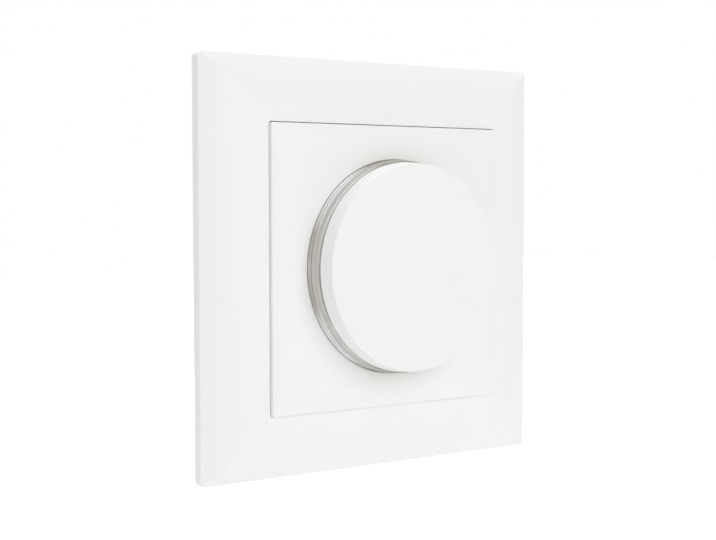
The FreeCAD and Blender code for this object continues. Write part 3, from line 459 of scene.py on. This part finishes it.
@dataclass(frozen=True)
class Clear:
    """A clear light guide: tones up its height with painted shade in its groove and painted light on its
    top, flow lines round it, a painted reflection of the lamps on its diagonals, painted shade at its top
    and bottom ends.

    The bands give a height in front of the wall in millimetres and a tone each. Other lengths are metres.
    """

    name: str
    # tones up the height; the dark stop at the groove is painted shade, the pale top stop painted light on
    # the top face under the knob
    bands: tuple[tuple[float, Colour], ...]
    # white banding of a painted reflection of the lamps, used on the four diagonals
    lobe_bands: tuple[tuple[float, Colour], ...]
    roughness: float
    index: float
    clearness: float
    # where the painted reflection fades in and where it is full
    lobe_edge: tuple[float, float] = (0.55, 0.97)
    # painted shade at the ring's top and bottom ends: its tint, and the distances from the vertical axis
    # where it starts and where it is full
    pole_tint: Colour = (0.66, 0.66, 0.58)
    pole_reach: tuple[float, float] = (13.0 * MM, 4.0 * MM)
    # strength of the flow lines, and their greater strength in the painted reflection, where they are
    # painted glints
    streak: float = 0.10
    lobe_streak: float = 0.36
    line_height: float = 0.22 * MM
    line_stretch: Place = (0.016, 1.0, 0.016)
    line_contrast: tuple[float, float] = (0.3, 0.7)
    line_detail: float = 2.0
    line_strength: float = 0.7

    def material(self) -> Material:
        """Makes the finish as a material.

        Returns:
            The material.
        """
        material, shader = new_material(self.name)
        tree = material.node_tree
        shader.inputs["Transmission Weight"].default_value = self.clearness
        shader.inputs["IOR"].default_value = self.index
        shader.inputs["Roughness"].default_value = self.roughness
        place = own_place(tree)
        apart = added(tree, "ShaderNodeSeparateXYZ", {0: place}).outputs
        # painted reflection of the lamps: a paler banding mixed in on the four diagonals
        lobes = self.lobes(tree, apart["X"], apart["Z"])
        sides = self.banding(tree, apart["Y"], self.bands)
        body = mixed(tree, lobes, sides, self.banding(tree, apart["Y"], self.lobe_bands))
        streaked = tinted(tree, body, self.streaks(tree, place, lobes))
        # painted shade: darker towards the ring's top and bottom ends
        ends = ranged(tree, worked(tree, "ABSOLUTE", apart["X"]), *self.pole_reach)
        fill(tree, shader.inputs["Base Color"], tinted(tree, streaked, (*self.pole_tint, 1.0), ends))
        return material

    def lobes(self, tree: Tree, across: Socket, upward: Socket) -> Socket:
        """Where a painted reflection of the lamps lies: four stretches, midway between its axes.

        Args:
            tree: the material's tree.
            across: the X coordinate.
            upward: the Z coordinate.

        Returns:
            One in a stretch's middle, nought on the axes.
        """
        double = worked(tree, "MULTIPLY", worked(tree, "ARCTAN2", upward, across), 2.0)
        size = worked(tree, "ABSOLUTE", worked(tree, "SINE", double))
        return ranged(tree, size, *self.lobe_edge)

    def banding(self, tree: Tree, depth: Socket, bands: Sequence[tuple[float, Colour]]) -> Socket:
        """The tone at each height.

        Args:
            tree: the material's tree.
            depth: the Y coordinate, which falls with the height.
            bands: height in millimetres and tone of each stop.

        Returns:
            A colour socket.
        """
        low, high = bands[0][0] * MM, bands[-1][0] * MM
        share = ranged(tree, depth, -low, -high, slope="LINEAR")
        ramp = added(tree, "ShaderNodeValToRGB", {"Fac": share})
        stops = ramp.color_ramp.elements
        while len(stops) < len(bands):
            stops.new(1.0)
        for stop, (height, colour) in zip(stops, bands):
            stop.position = (height * MM - low) / (high - low)
            stop.color = (*colour, 1.0)
        return ramp.outputs["Color"]

    def streaks(self, tree: Tree, place: Socket, lobes: Socket) -> Socket:
        """Fine flow lines round the ring that come and go, stronger in the painted reflection, where they
        are painted glints.

        Args:
            tree: the material's tree.
            place: object coordinates.
            lobes: the mask of the painted reflection.

        Returns:
            A value about one.
        """
        drawn = drawn_out(tree, place, self.line_stretch)
        flow = noise(tree, drawn, 1.0 / self.line_height, self.line_detail, self.line_strength)
        lines = ranged(tree, flow, *self.line_contrast, slope="LINEAR")
        spread = ranged(tree, lobes, 0.0, 1.0, 2.0 * self.streak, 2.0 * self.lobe_streak, "LINEAR")
        return about_one(tree, lines, spread)


class Finish(Enum):
    """The finishes of the dimmer, each named for the record's material slot."""

    WHITE_PLASTIC = Moulded(
        "white_plastic", (0.89, 0.89, 0.88), 0.42, 0.25 * MM, 0.0015 * MM, mitre=SoftMitre()
    )
    CLEAR_PLASTIC = Clear("clear_plastic", (
        # side tones up the height; the dark stops at 9.90 to 10.02 are painted shade in the groove, the
        # pale stop at 11.84 is painted light on the top face
        (8.80, (0.56, 0.55, 0.51)), (9.00, (0.58, 0.56, 0.53)), (9.10, (0.60, 0.57, 0.53)),
        (9.80, (0.56, 0.53, 0.49)), (9.90, (0.37, 0.35, 0.32)), (10.02, (0.37, 0.35, 0.32)),
        (10.12, (0.65, 0.62, 0.56)), (11.60, (0.62, 0.60, 0.55)), (11.80, (0.60, 0.59, 0.56)),
        (11.84, (0.82, 0.81, 0.78)),
    ), (
        # painted reflection of the lamps on the diagonals: white up the wall, darker at the groove, pale on
        # the top face
        (8.80, (0.56, 0.55, 0.51)), (9.02, (0.60, 0.59, 0.56)), (9.10, (0.96, 0.96, 0.96)),
        (9.80, (0.96, 0.96, 0.96)), (9.90, (0.62, 0.61, 0.58)), (10.02, (0.62, 0.61, 0.58)),
        (10.12, (0.96, 0.96, 0.96)), (10.40, (0.96, 0.96, 0.96)), (10.80, (0.62, 0.61, 0.60)),
        (11.60, (0.60, 0.60, 0.59)), (11.80, (0.60, 0.60, 0.59)), (11.84, (0.98, 0.97, 0.95)),
    ), roughness=0.08, index=1.6, clearness=0.15)
    HOUSING_PLASTIC = Moulded("housing_plastic", (0.30, 0.31, 0.32), 0.55, 0.45 * MM, 0.05 * MM, 0.16)
    BLACK_PLASTIC = Moulded("black_plastic", (0.02, 0.02, 0.02), 0.45, 0.1 * MM, 0.01 * MM, 0.2)
    TERMINAL_PLASTIC = Moulded("terminal_plastic", (0.55, 0.56, 0.56), 0.45, 0.3 * MM, 0.02 * MM, 0.08)
    ZINC_STEEL = Metal("zinc_steel", (0.50, 0.51, 0.53), 0.36, 3 * MM, tone_spread=0.5)
    SCREW_STEEL = Metal("screw_steel", (0.55, 0.55, 0.56), 0.28, 0.8 * MM)
    BRASS = Metal("brass", (0.70, 0.55, 0.25), 0.25, 1 * MM)
    ALUMINIUM = Metal("aluminium", (0.72, 0.73, 0.74), 0.35)
    BOARD_GREEN = Moulded("board_green", (0.03, 0.16, 0.07), 0.25, 0.6 * MM, 0.02 * MM, 0.3)
    LAMP_WHITE = Moulded("lamp_white", (0.90, 0.85, 0.60), 0.3, 0.3 * MM, 0.002 * MM)
    FERRITE = Moulded("ferrite", (0.20, 0.22, 0.10), 0.5, 0.15 * MM, 0.02 * MM, 0.3)
    COPPER = Metal("copper", (0.60, 0.25, 0.10), 0.2, 0.6 * MM)


class Dresser:
    """Gives nodes and pieces their finishes, one material for each slot."""

    def __init__(self) -> None:
        """Starts with no material made."""
        self.made: dict[Finish, Material] = {}

    def material(self, finish: Finish) -> Material:
        """Makes a finish's material when it is first wanted.

        Args:
            finish: the finish.

        Returns:
            Its material.
        """
        if finish not in self.made:
            self.made[finish] = finish.value.material()
        return self.made[finish]

    def dress(self, nodes: dict[str, Piece], slots: dict[str, str]) -> None:
        """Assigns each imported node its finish.

        Args:
            nodes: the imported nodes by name.
            slots: the material slot of each node.
        """
        for name, item in nodes.items():
            material = self.material(Finish[slots[name].upper()])
            if item.material_slots:
                for place in item.material_slots:
                    place.material = material
            else:
                item.data.materials.append(material)

    def piece(self, name: str, mesh: Mesh, finish: Finish) -> Piece:
        """Makes a mesh a piece of the object, on the insert, which carries all the added pieces.

        Args:
            name: the piece's name.
            mesh: its mesh, in the part's frame.
            finish: its finish.

        Returns:
            The piece.
        """
        mesh.name = name
        mesh.materials.clear()
        mesh.materials.append(self.material(finish))
        item = bpy.data.objects.new(name, mesh)
        bpy.context.scene.collection.objects.link(item)
        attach(item, "insert")
        return item


def revolve(outline: Sequence[tuple[float, float]], steps: int) -> Mesh:
    """Turns a closed outline about the knob's axis.

    Args:
        outline: radius and height in front of the wall of each corner, in millimetres.
        steps: how many flats the turn has.

    Returns:
        A closed mesh with its faces outwards.
    """
    points = []
    for step in range(steps):
        angle = 2 * math.pi * step / steps
        points += [
            (radius * math.cos(angle) * MM, -height * MM, radius * math.sin(angle) * MM)
            for radius, height in outline
        ]
    count = len(outline)
    faces = []
    for step in range(steps):
        here, there = step * count, (step + 1) % steps * count
        for index in range(count):
            after = (index + 1) % count
            faces.append((here + index, here + after, there + after, there + index))
    mesh = bpy.data.meshes.new("turned")
    mesh.from_pydata(points, [], faces)
    return finished(mesh)


def finished(mesh: Mesh) -> Mesh:
    """Turns a mesh's faces outwards and shades it smooth between its sharp edges.

    Args:
        mesh: the mesh.

    Returns:
        The same mesh.
    """
    work = bmesh.new()
    work.from_mesh(mesh)
    bmesh.ops.remove_doubles(work, verts=work.verts, dist=WELD)
    bmesh.ops.recalc_face_normals(work, faces=work.faces)
    work.to_mesh(mesh)
    work.free()
    mesh.shade_smooth()
    mesh.set_sharp_from_angle(angle=CREASE)
    return mesh


def dots(places: Sequence[Place]) -> Mesh:
    """Makes a mesh of bare points, for a tree to set its copies on.

    Args:
        places: the points, in millimetres.

    Returns:
        The mesh.
    """
    mesh = bpy.data.meshes.new("dots")
    mesh.from_pydata([tuple(part * MM for part in place) for place in places], [], [])
    return mesh


def geometry_tree(name: str, wanted: Iterable[tuple[str, str, float | None]]) -> Tree:
    """Makes a Geometry Nodes tree with a geometry in and out, a finish and named sizes.

    Args:
        name: the tree's name.
        wanted: name, socket type and value of each size.

    Returns:
        The tree, with its Group Input and Group Output in place.
    """
    tree = bpy.data.node_groups.new(name, "GeometryNodeTree")
    group_sockets(tree, [
        ("Geometry", "INPUT", "NodeSocketGeometry", None),
        ("Geometry", "OUTPUT", "NodeSocketGeometry", None),
        ("Finish", "INPUT", "NodeSocketMaterial", None),
        *((size, "INPUT", kind, value) for size, kind, value in wanted),
    ])
    added(tree, "NodeGroupInput")
    added(tree, "NodeGroupOutput")
    return tree


def close_tree(tree: Tree, shape: Socket) -> None:
    """Ends a tree: instances made real, finish set.

    Args:
        tree: the tree.
        shape: the geometry that it has made.
    """
    real = added(tree, "GeometryNodeRealizeInstances", {"Geometry": shape})
    finish = tree.nodes["Group Input"].outputs["Finish"]
    dressed = added(tree, "GeometryNodeSetMaterial", {"Geometry": real.outputs[0], "Material": finish})
    fill(tree, tree.nodes["Group Output"].inputs[0], dressed.outputs[0])


def circle(tree: Tree, sides: object, radius: Socket) -> Socket:
    """Adds a circle, which lies flat in X and Y."""
    return added(
        tree, "GeometryNodeCurvePrimitiveCircle", {"Resolution": sides, "Radius": radius}
    ).outputs[0]


def tube(tree: Tree, path: Socket, sides: int, radius: Socket, capped: bool = False) -> Socket:
    """Runs a round section along a curve.

    Args:
        tree: the tree.
        path: the curve.
        sides: how many flats the section has.
        radius: its radius.
        capped: whether the ends are closed.

    Returns:
        The tube's socket.
    """
    return added(tree, "GeometryNodeCurveToMesh", {
        "Curve": path, "Profile Curve": circle(tree, sides, radius), "Fill Caps": capped,
    }).outputs[0]


def faced(tree: Tree, shape: Socket) -> Socket:
    """Turns a shape that lies flat to face the room."""
    return added(
        tree, "GeometryNodeTransform", {"Geometry": shape, "Rotation": (QUARTER_TURN, 0.0, 0.0)}
    ).outputs[0]


def copied(tree: Tree, points: Socket, shape: Socket, **inputs: Socket) -> Socket:
    """Sets a copy of a shape on each point.

    Args:
        tree: the tree.
        points: the points.
        shape: what is copied.
        inputs: the copies' Rotation or Scale.

    Returns:
        The copies' socket.
    """
    return added(
        tree, "GeometryNodeInstanceOnPoints", {"Points": points, "Instance": shape, **inputs}
    ).outputs[0]


def grown(mesh: Mesh, tree: Tree, values: dict[str, object]) -> Mesh:
    """Runs a Geometry Nodes tree on a mesh and keeps the result as a plain mesh.

    Args:
        mesh: what the tree starts from.
        tree: the tree.
        values: what its named inputs take, the finish and any size that isn't the tree's own.

    Returns:
        The new mesh, faces outwards.
    """
    item = bpy.data.objects.new("growing", mesh)
    bpy.context.scene.collection.objects.link(item)
    step = item.modifiers.new("grow", "NODES")
    step.node_group = tree
    for socket in tree.interface.items_tree:
        if socket.in_out == "INPUT" and socket.name in values:
            step[socket.identifier] = values[socket.name]
    graph = bpy.context.evaluated_depsgraph_get()
    result = bpy.data.meshes.new_from_object(item.evaluated_get(graph), depsgraph=graph)
    item.modifiers.remove(step)
    bpy.data.objects.remove(item)
    return finished(result)


@dataclass
class LightRing:
    """The clear ring round the foot of the knob. Lengths are millimetres, heights in front of the wall."""

    outer: float = 20.84
    inner: float = 18.84
    flange: float = 21.84
    foot: float = 5.3
    seat: float = 6.4
    plate: float = 8.9
    top: float = 11.85
    draft: float = 0.25
    chamfer: float = 0.2
    chamfer_turn: tuple[float, float] = (0.4, 0.3)
    groove: float = 9.96
    groove_half: float = 0.06
    groove_floor: float = 0.03
    groove_depth: float = 0.07
    beads: int = 5
    first_bead: float = 9.08
    bead_pitch: float = 0.16
    bead_radius: float = 0.065
    bead_sunk: float = 0.035
    bead_sides: int = 8
    steps: int = 288

    def wall(self, height: float) -> float:
        """The outer radius at a height."""
        share = max(0.0, (height - self.plate) / (self.top - self.plate))
        return self.outer - self.draft * share

    def outline(self) -> list[tuple[float, float]]:
        """Draws the ring's section: its flange, its grooved wall and its bevelled top.

        Returns:
            Radius and height of each corner.
        """
        corners = [(self.inner, self.foot), (self.flange, self.foot), (self.flange, self.seat)]
        corners += [(self.outer, self.seat), (self.outer, self.plate)]
        lip, floor, depth = self.groove_half, self.groove_floor, self.groove_depth
        for shift, sunk in ((-lip, 0.0), (-floor, depth), (floor, depth), (lip, 0.0)):
            level = self.groove + shift
            corners.append((self.wall(level) - sunk, level))
        tip, shoulder = self.outer - self.draft, self.top - self.chamfer
        inward, downward = self.chamfer_turn
        corners += [
            (self.wall(shoulder), shoulder),
            (tip - self.chamfer * inward, self.top - self.chamfer * downward),
            (tip - self.chamfer, self.top), (self.inner + self.chamfer, self.top), (self.inner, shoulder),
        ]
        return corners

    def bead_tree(self) -> Tree:
        """Sets rows of beads round the wall, one above the other, with the wall's own draft.

        Returns:
            The tree, whose input is the ring without its beads.
        """
        tree = geometry_tree("ring beads", (
            ("Rows", "NodeSocketInt", self.beads), ("Pitch", "NodeSocketFloat", self.bead_pitch * MM),
            ("First Height", "NodeSocketFloat", self.first_bead * MM),
            ("Wall Radius", "NodeSocketFloat", (self.wall(self.first_bead) - self.bead_sunk) * MM),
            ("Bead Radius", "NodeSocketFloat", self.bead_radius * MM),
            ("Draft", "NodeSocketFloat", self.draft / (self.top - self.plate)),
            ("Steps", "NodeSocketInt", self.steps),
        ))
        entry = tree.nodes["Group Input"].outputs
        rise = worked(tree, "MULTIPLY", added(tree, "GeometryNodeInputIndex").outputs[0], entry["Pitch"])
        level = worked(tree, "MULTIPLY", worked(tree, "ADD", rise, entry["First Height"]), -1.0)
        place = added(tree, "ShaderNodeCombineXYZ", {"Y": level}).outputs[0]
        rows = added(tree, "GeometryNodePoints", {"Count": entry["Rows"], "Position": place}).outputs[0]
        lost = worked(tree, "DIVIDE", worked(tree, "MULTIPLY", rise, entry["Draft"]), entry["Wall Radius"])
        width = worked(tree, "SUBTRACT", 1.0, lost)
        size = added(tree, "ShaderNodeCombineXYZ", {"X": width, "Y": 1.0, "Z": width}).outputs[0]
        path = circle(tree, entry["Steps"], entry["Wall Radius"])
        bead = faced(tree, tube(tree, path, self.bead_sides, entry["Bead Radius"]))
        both = added(tree, "GeometryNodeJoinGeometry", {0: entry["Geometry"]})
        fill(tree, both.inputs[0], copied(tree, rows, bead, Scale=size))
        close_tree(tree, both.outputs[0])
        return tree

    def build(self, dresser: Dresser) -> list[Piece]:
        """Makes the ring in place of its plain node.

        Args:
            dresser: gives it its finish.

        Returns:
            The ring.
        """
        finish = Finish.CLEAR_PLASTIC
        plain = revolve(self.outline(), self.steps)
        mesh = grown(plain, self.bead_tree(), {"Finish": dresser.material(finish)})
        item = dresser.piece("light_ring_clear", mesh, finish)
        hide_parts("light_ring")
        return [item]


@dataclass
class SnapDome:
    """The sprung dome of the push switch, made at rest, not flattened under the plunger. Lengths are
    millimetres.
    """

    floor: float = 8.0
    rise: float = 1.0
    radius: float = 3.0
    thickness: float = 0.15
    travel: float = 0.5
    rings: int = 14
    steps: int = 64

    def arc(self, half: float, rise: float) -> list[tuple[float, float]]:
        """Draws a dome's section from its top to its foot.

        Args:
            half: radius at the foot.
            rise: height of the top above the foot.

        Returns:
            Radius and depth behind the wall of each point.
        """
        ball = (half * half + rise * rise) / (2 * rise)
        widest = math.asin(half / ball)
        points = []
        for ring in range(self.rings + 1):
            angle = widest * ring / self.rings
            points.append((ball * math.sin(angle), self.floor - rise + ball * (1 - math.cos(angle))))
        return points

    def build(self, dresser: Dresser) -> list[Piece]:
        """Makes the dome in place of its rigid node.

        Args:
            dresser: gives it its finish.

        Returns:
            The dome.
        """
        upper = self.arc(self.radius, self.rise)
        under = self.arc(self.radius - 2 * self.thickness, self.rise - self.thickness)
        outline = [(radius, -depth) for radius, depth in upper + under[::-1]]
        item = dresser.piece("snap_dome", revolve(outline, self.steps), Finish.ZINC_STEEL)
        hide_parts("switch_dome")
        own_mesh(item)
        return [item]


@dataclass
class EjectorMarks:
    """The round marks that the mould's pins leave on the back of the insert. Lengths are millimetres."""

    radius: float = 1.6
    lip: float = 0.2
    lip_sides: int = 8
    sunk: float = 0.08
    steps: int = 48
    places: tuple[tuple[float, float], ...] = ((-17.0, 6.0), (17.0, 6.0), (-17.0, -9.0), (17.0, -9.0))

    def tree(self) -> Tree:
        """Sets a fine round lip at each point of the input.

        Returns:
            The tree.
        """
        tree = geometry_tree("ejector marks", (
            ("Mark Radius", "NodeSocketFloat", self.radius * MM),
            ("Lip Radius", "NodeSocketFloat", self.lip * MM),
            ("Steps", "NodeSocketInt", self.steps),
        ))
        entry = tree.nodes["Group Input"].outputs
        path = circle(tree, entry["Steps"], entry["Mark Radius"])
        lip = faced(tree, tube(tree, path, self.lip_sides, entry["Lip Radius"]))
        close_tree(tree, copied(tree, entry["Geometry"], lip))
        return tree

    def build(self, dresser: Dresser) -> list[Piece]:
        """Sets the marks into the housing's rear face.

        Args:
            dresser: gives them their finish.

        Returns:
            The marks, one piece.
        """
        finish = Finish.HOUSING_PLASTIC
        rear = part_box("insert_housing")[1][1] / MM - self.sunk
        spots = dots([(across, rear, upward) for across, upward in self.places])
        mesh = grown(spots, self.tree(), {"Finish": dresser.material(finish)})
        return [dresser.piece("ejector_marks", mesh, finish)]


@dataclass(frozen=True)
class Thread:
    """One kind of screw thread. Lengths are millimetres in the part's frame."""

    name: str
    finish: Finish
    starts: tuple[Place, ...]
    radius: float
    pitch: float
    length: float
    ridge: float
    steps: int = 28
    tilt: float = QUARTER_TURN


@dataclass
class ThreadCutter:
    """Makes the threads of the bush and the screws, whose solids are plain cylinders."""

    ridge_sides: int = 4
    threads: tuple[Thread, ...] = (
        Thread(
            "bush_thread", Finish.ZINC_STEEL, ((0.0, -3.3, 0.0),),
            radius=4.5, pitch=0.75, length=3.75, ridge=0.12, steps=56,
        ),
        Thread(
            "housing_screw_threads", Finish.SCREW_STEEL,
            ((17.25, 7.8, 17.25), (-17.25, 7.8, 17.25), (-17.25, 7.8, -17.25), (17.25, 7.8, -17.25)),
            radius=1.0, pitch=0.7, length=7.7, ridge=0.12,
        ),
        Thread(
            "clamp_screw_threads", Finish.SCREW_STEEL,
            ((-8.0, 17.2, -22.3), (0.0, 17.2, -22.3), (8.0, 17.2, -22.3)),
            radius=1.5, pitch=0.5, length=3.0, ridge=0.08, tilt=0.0,
        ),
    )

    def tree(self) -> Tree:
        """Winds a sharp ridge round a cylinder at each point of the input.

        Returns:
            The tree, whose sizes are set for each kind of thread.
        """
        tree = geometry_tree("thread", (
            ("Radius", "NodeSocketFloat", None), ("Length", "NodeSocketFloat", None),
            ("Turns", "NodeSocketFloat", None), ("Ridge", "NodeSocketFloat", None),
            ("Steps", "NodeSocketInt", None), ("Tilt", "NodeSocketVector", None),
        ))
        entry = tree.nodes["Group Input"].outputs
        helix = added(tree, "GeometryNodeCurveSpiral", {
            "Resolution": entry["Steps"], "Rotations": entry["Turns"], "Height": entry["Length"],
            "Start Radius": entry["Radius"], "End Radius": entry["Radius"],
        })
        upright = added(tree, "GeometryNodeSetCurveNormal", {"Curve": helix.outputs[0]}, mode="Z_UP")
        ridge = tube(tree, upright.outputs[0], self.ridge_sides, entry["Ridge"], capped=True)
        turn = added(tree, "FunctionNodeEulerToRotation", {"Euler": entry["Tilt"]}).outputs[0]
        close_tree(tree, copied(tree, entry["Geometry"], ridge, Rotation=turn))
        return tree

    def build(self, dresser: Dresser) -> list[Piece]:
        """Winds every thread, each kind as one piece.

        Args:
            dresser: gives them their finishes.

        Returns:
            The threads.
        """
        tree = self.tree()
        pieces = []
        for thread in self.threads:
            mesh = grown(dots(thread.starts), tree, {
                "Finish": dresser.material(thread.finish),
                "Radius": thread.radius * MM,
                "Length": thread.length * MM,
                "Turns": thread.length / thread.pitch,
                "Ridge": thread.ridge * MM,
                "Steps": thread.steps,
                "Tilt": (thread.tilt, 0.0, 0.0),
            })
            pieces.append(dresser.piece(thread.name, mesh, thread.finish))
        return pieces


@dataclass(frozen=True)
class Lamp:
    """A soft square lamp that faces the object. Lengths are metres in the part's frame."""

    name: str
    place: Place
    side: float
    watts: float

    def build(self) -> None:
        """Stands the lamp in the studio."""
        data = bpy.data.lights.new(self.name, "AREA")
        data.shape = "SQUARE"
        data.size = self.side
        data.energy = self.watts
        item = bpy.data.objects.new(self.name, data)
        item.location = self.place
        item.rotation_mode = "QUATERNION"
        item.rotation_quaternion = (-Vector(self.place)).to_track_quat("-Z", "Y")
        bpy.context.scene.collection.objects.link(item)


@dataclass
class Studio:
    """Floor, lamps, world and camera. Lengths are metres in the part's frame, lens and film millimetres."""

    eye: Place = (-0.16993, -0.22945, 0.01269)
    right: Place = (0.80794, -0.58926, -0.00202)
    upward: Place = (0.02988, 0.03755, 0.99885)
    lens: float = 71.50
    film: float = 36.0
    seen_from: float = 0.01
    seen_to: float = 20.0
    floor_drop: float = 0.16
    floor_half: float = 3.0
    floor_tone: Colour = (0.9, 0.9, 0.9)
    floor_roughness: float = 0.9
    floor_glow: float = 0.7
    surround: Colour = (1.0, 1.0, 0.995)
    ambient: float = 0.48
    lamps: tuple[Lamp, ...] = (
        Lamp("front lamp", (0.0, -1.0, 0.44), 0.9, 4.9),
        Lamp("top lamp", (-0.03, 0.31, 0.95), 0.6, 4.4),
        Lamp("side lamp", (-0.95, 0.25, -0.02), 0.25, 0.8),
        Lamp("rear lamp", (0.48, 1.0, 0.45), 0.6, 2.5),
    )

    def camera(self) -> None:
        """Stands the camera where the photograph was taken from."""
        data = bpy.data.cameras.new("camera")
        data.lens = self.lens
        data.sensor_fit = "HORIZONTAL"
        data.sensor_width = self.film
        data.clip_start = self.seen_from
        data.clip_end = self.seen_to
        item = bpy.data.objects.new("camera", data)
        bpy.context.scene.collection.objects.link(item)
        right, upward = Vector(self.right), Vector(self.upward)
        back = right.cross(upward)
        turn = Matrix((right, upward, back)).transposed()
        item.matrix_world = Matrix.Translation(Vector(self.eye)) @ turn.to_4x4()
        bpy.context.scene.camera = item

    def world(self) -> None:
        """Makes an even pale surround, plain white where the camera, gloss or clear plastic sees it."""
        world = bpy.data.worlds.new("surround")
        bpy.context.scene.world = world
        world.use_nodes = True
        tree = world.node_tree
        tree.nodes.clear()
        light = added(tree, "ShaderNodeBackground", {
            "Color": (*self.surround, 1.0), "Strength": self.ambient,
        })
        seen = added(tree, "ShaderNodeBackground", {"Color": (1.0, 1.0, 1.0, 1.0), "Strength": 1.0})
        mix = added(tree, "ShaderNodeMixShader", {
            0: self.seen_rays(tree), 1: light.outputs[0], 2: seen.outputs[0],
        })
        added(tree, "ShaderNodeOutputWorld", {"Surface": mix.outputs[0]})

    def seen_rays(self, tree: Tree) -> Socket:
        """Tells the rays that see a background from those that light the object.

        Args:
            tree: the material's or the world's tree.

        Returns:
            One where the ray is from the camera, a reflection or clear plastic, otherwise nought.
        """
        path = added(tree, "ShaderNodeLightPath").outputs
        seen = worked(tree, "MAXIMUM", path["Is Camera Ray"], path["Is Glossy Ray"])
        return worked(tree, "MAXIMUM", seen, path["Is Transmission Ray"])

    def floor(self) -> None:
        """Lays a plain pale floor that keeps the object's shadow."""
        material, shader = new_material("floor")
        tree = material.node_tree
        glow = worked(tree, "MULTIPLY", self.seen_rays(tree), self.floor_glow)
        for name, value in (
            ("Base Color", (*self.floor_tone, 1.0)), ("Roughness", self.floor_roughness),
            ("Emission Color", (1.0, 1.0, 1.0, 1.0)), ("Emission Strength", glow),
        ):
            fill(tree, shader.inputs[name], value)
        mesh = bpy.data.meshes.new("floor")
        far, height = self.floor_half, -self.floor_drop
        mesh.from_pydata(
            [(-far, -far, height), (far, -far, height), (far, far, height), (-far, far, height)],
            [], [(0, 1, 2, 3)],
        )
        mesh.materials.append(material)
        item = bpy.data.objects.new("floor", mesh)
        bpy.context.scene.collection.objects.link(item)

    def build(self) -> None:
        """Makes the whole studio."""
        self.camera()
        self.world()
        self.floor()
        for lamp in self.lamps:
            lamp.build()
        bpy.context.scene.view_settings.view_transform = "Standard"


def slots_of(record: dict) -> dict[str, str]:
    """The material slot of each node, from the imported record."""
    return {part["node"]: part["material_slot"] for part in record["subparts"]}


def main() -> None:
    """Builds the dressed dimmer and its studio, and reports each added piece."""
    logging.basicConfig(level=logging.INFO, format="%(message)s")
    for item in list(bpy.data.objects):
        bpy.data.objects.remove(item)
    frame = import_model()
    dresser = Dresser()
    dresser.dress(frame["nodes"], slots_of(frame["record"]))
    LOG.info("%d packed nodes dressed", len(frame["nodes"]))
    for maker in (LightRing(), SnapDome(), EjectorMarks(), ThreadCutter()):
        for piece in maker.build(dresser):
            LOG.info("%s: %d faces", piece.name, len(piece.data.polygons))
    Studio().build()


if __name__ == "__main__":
    main()
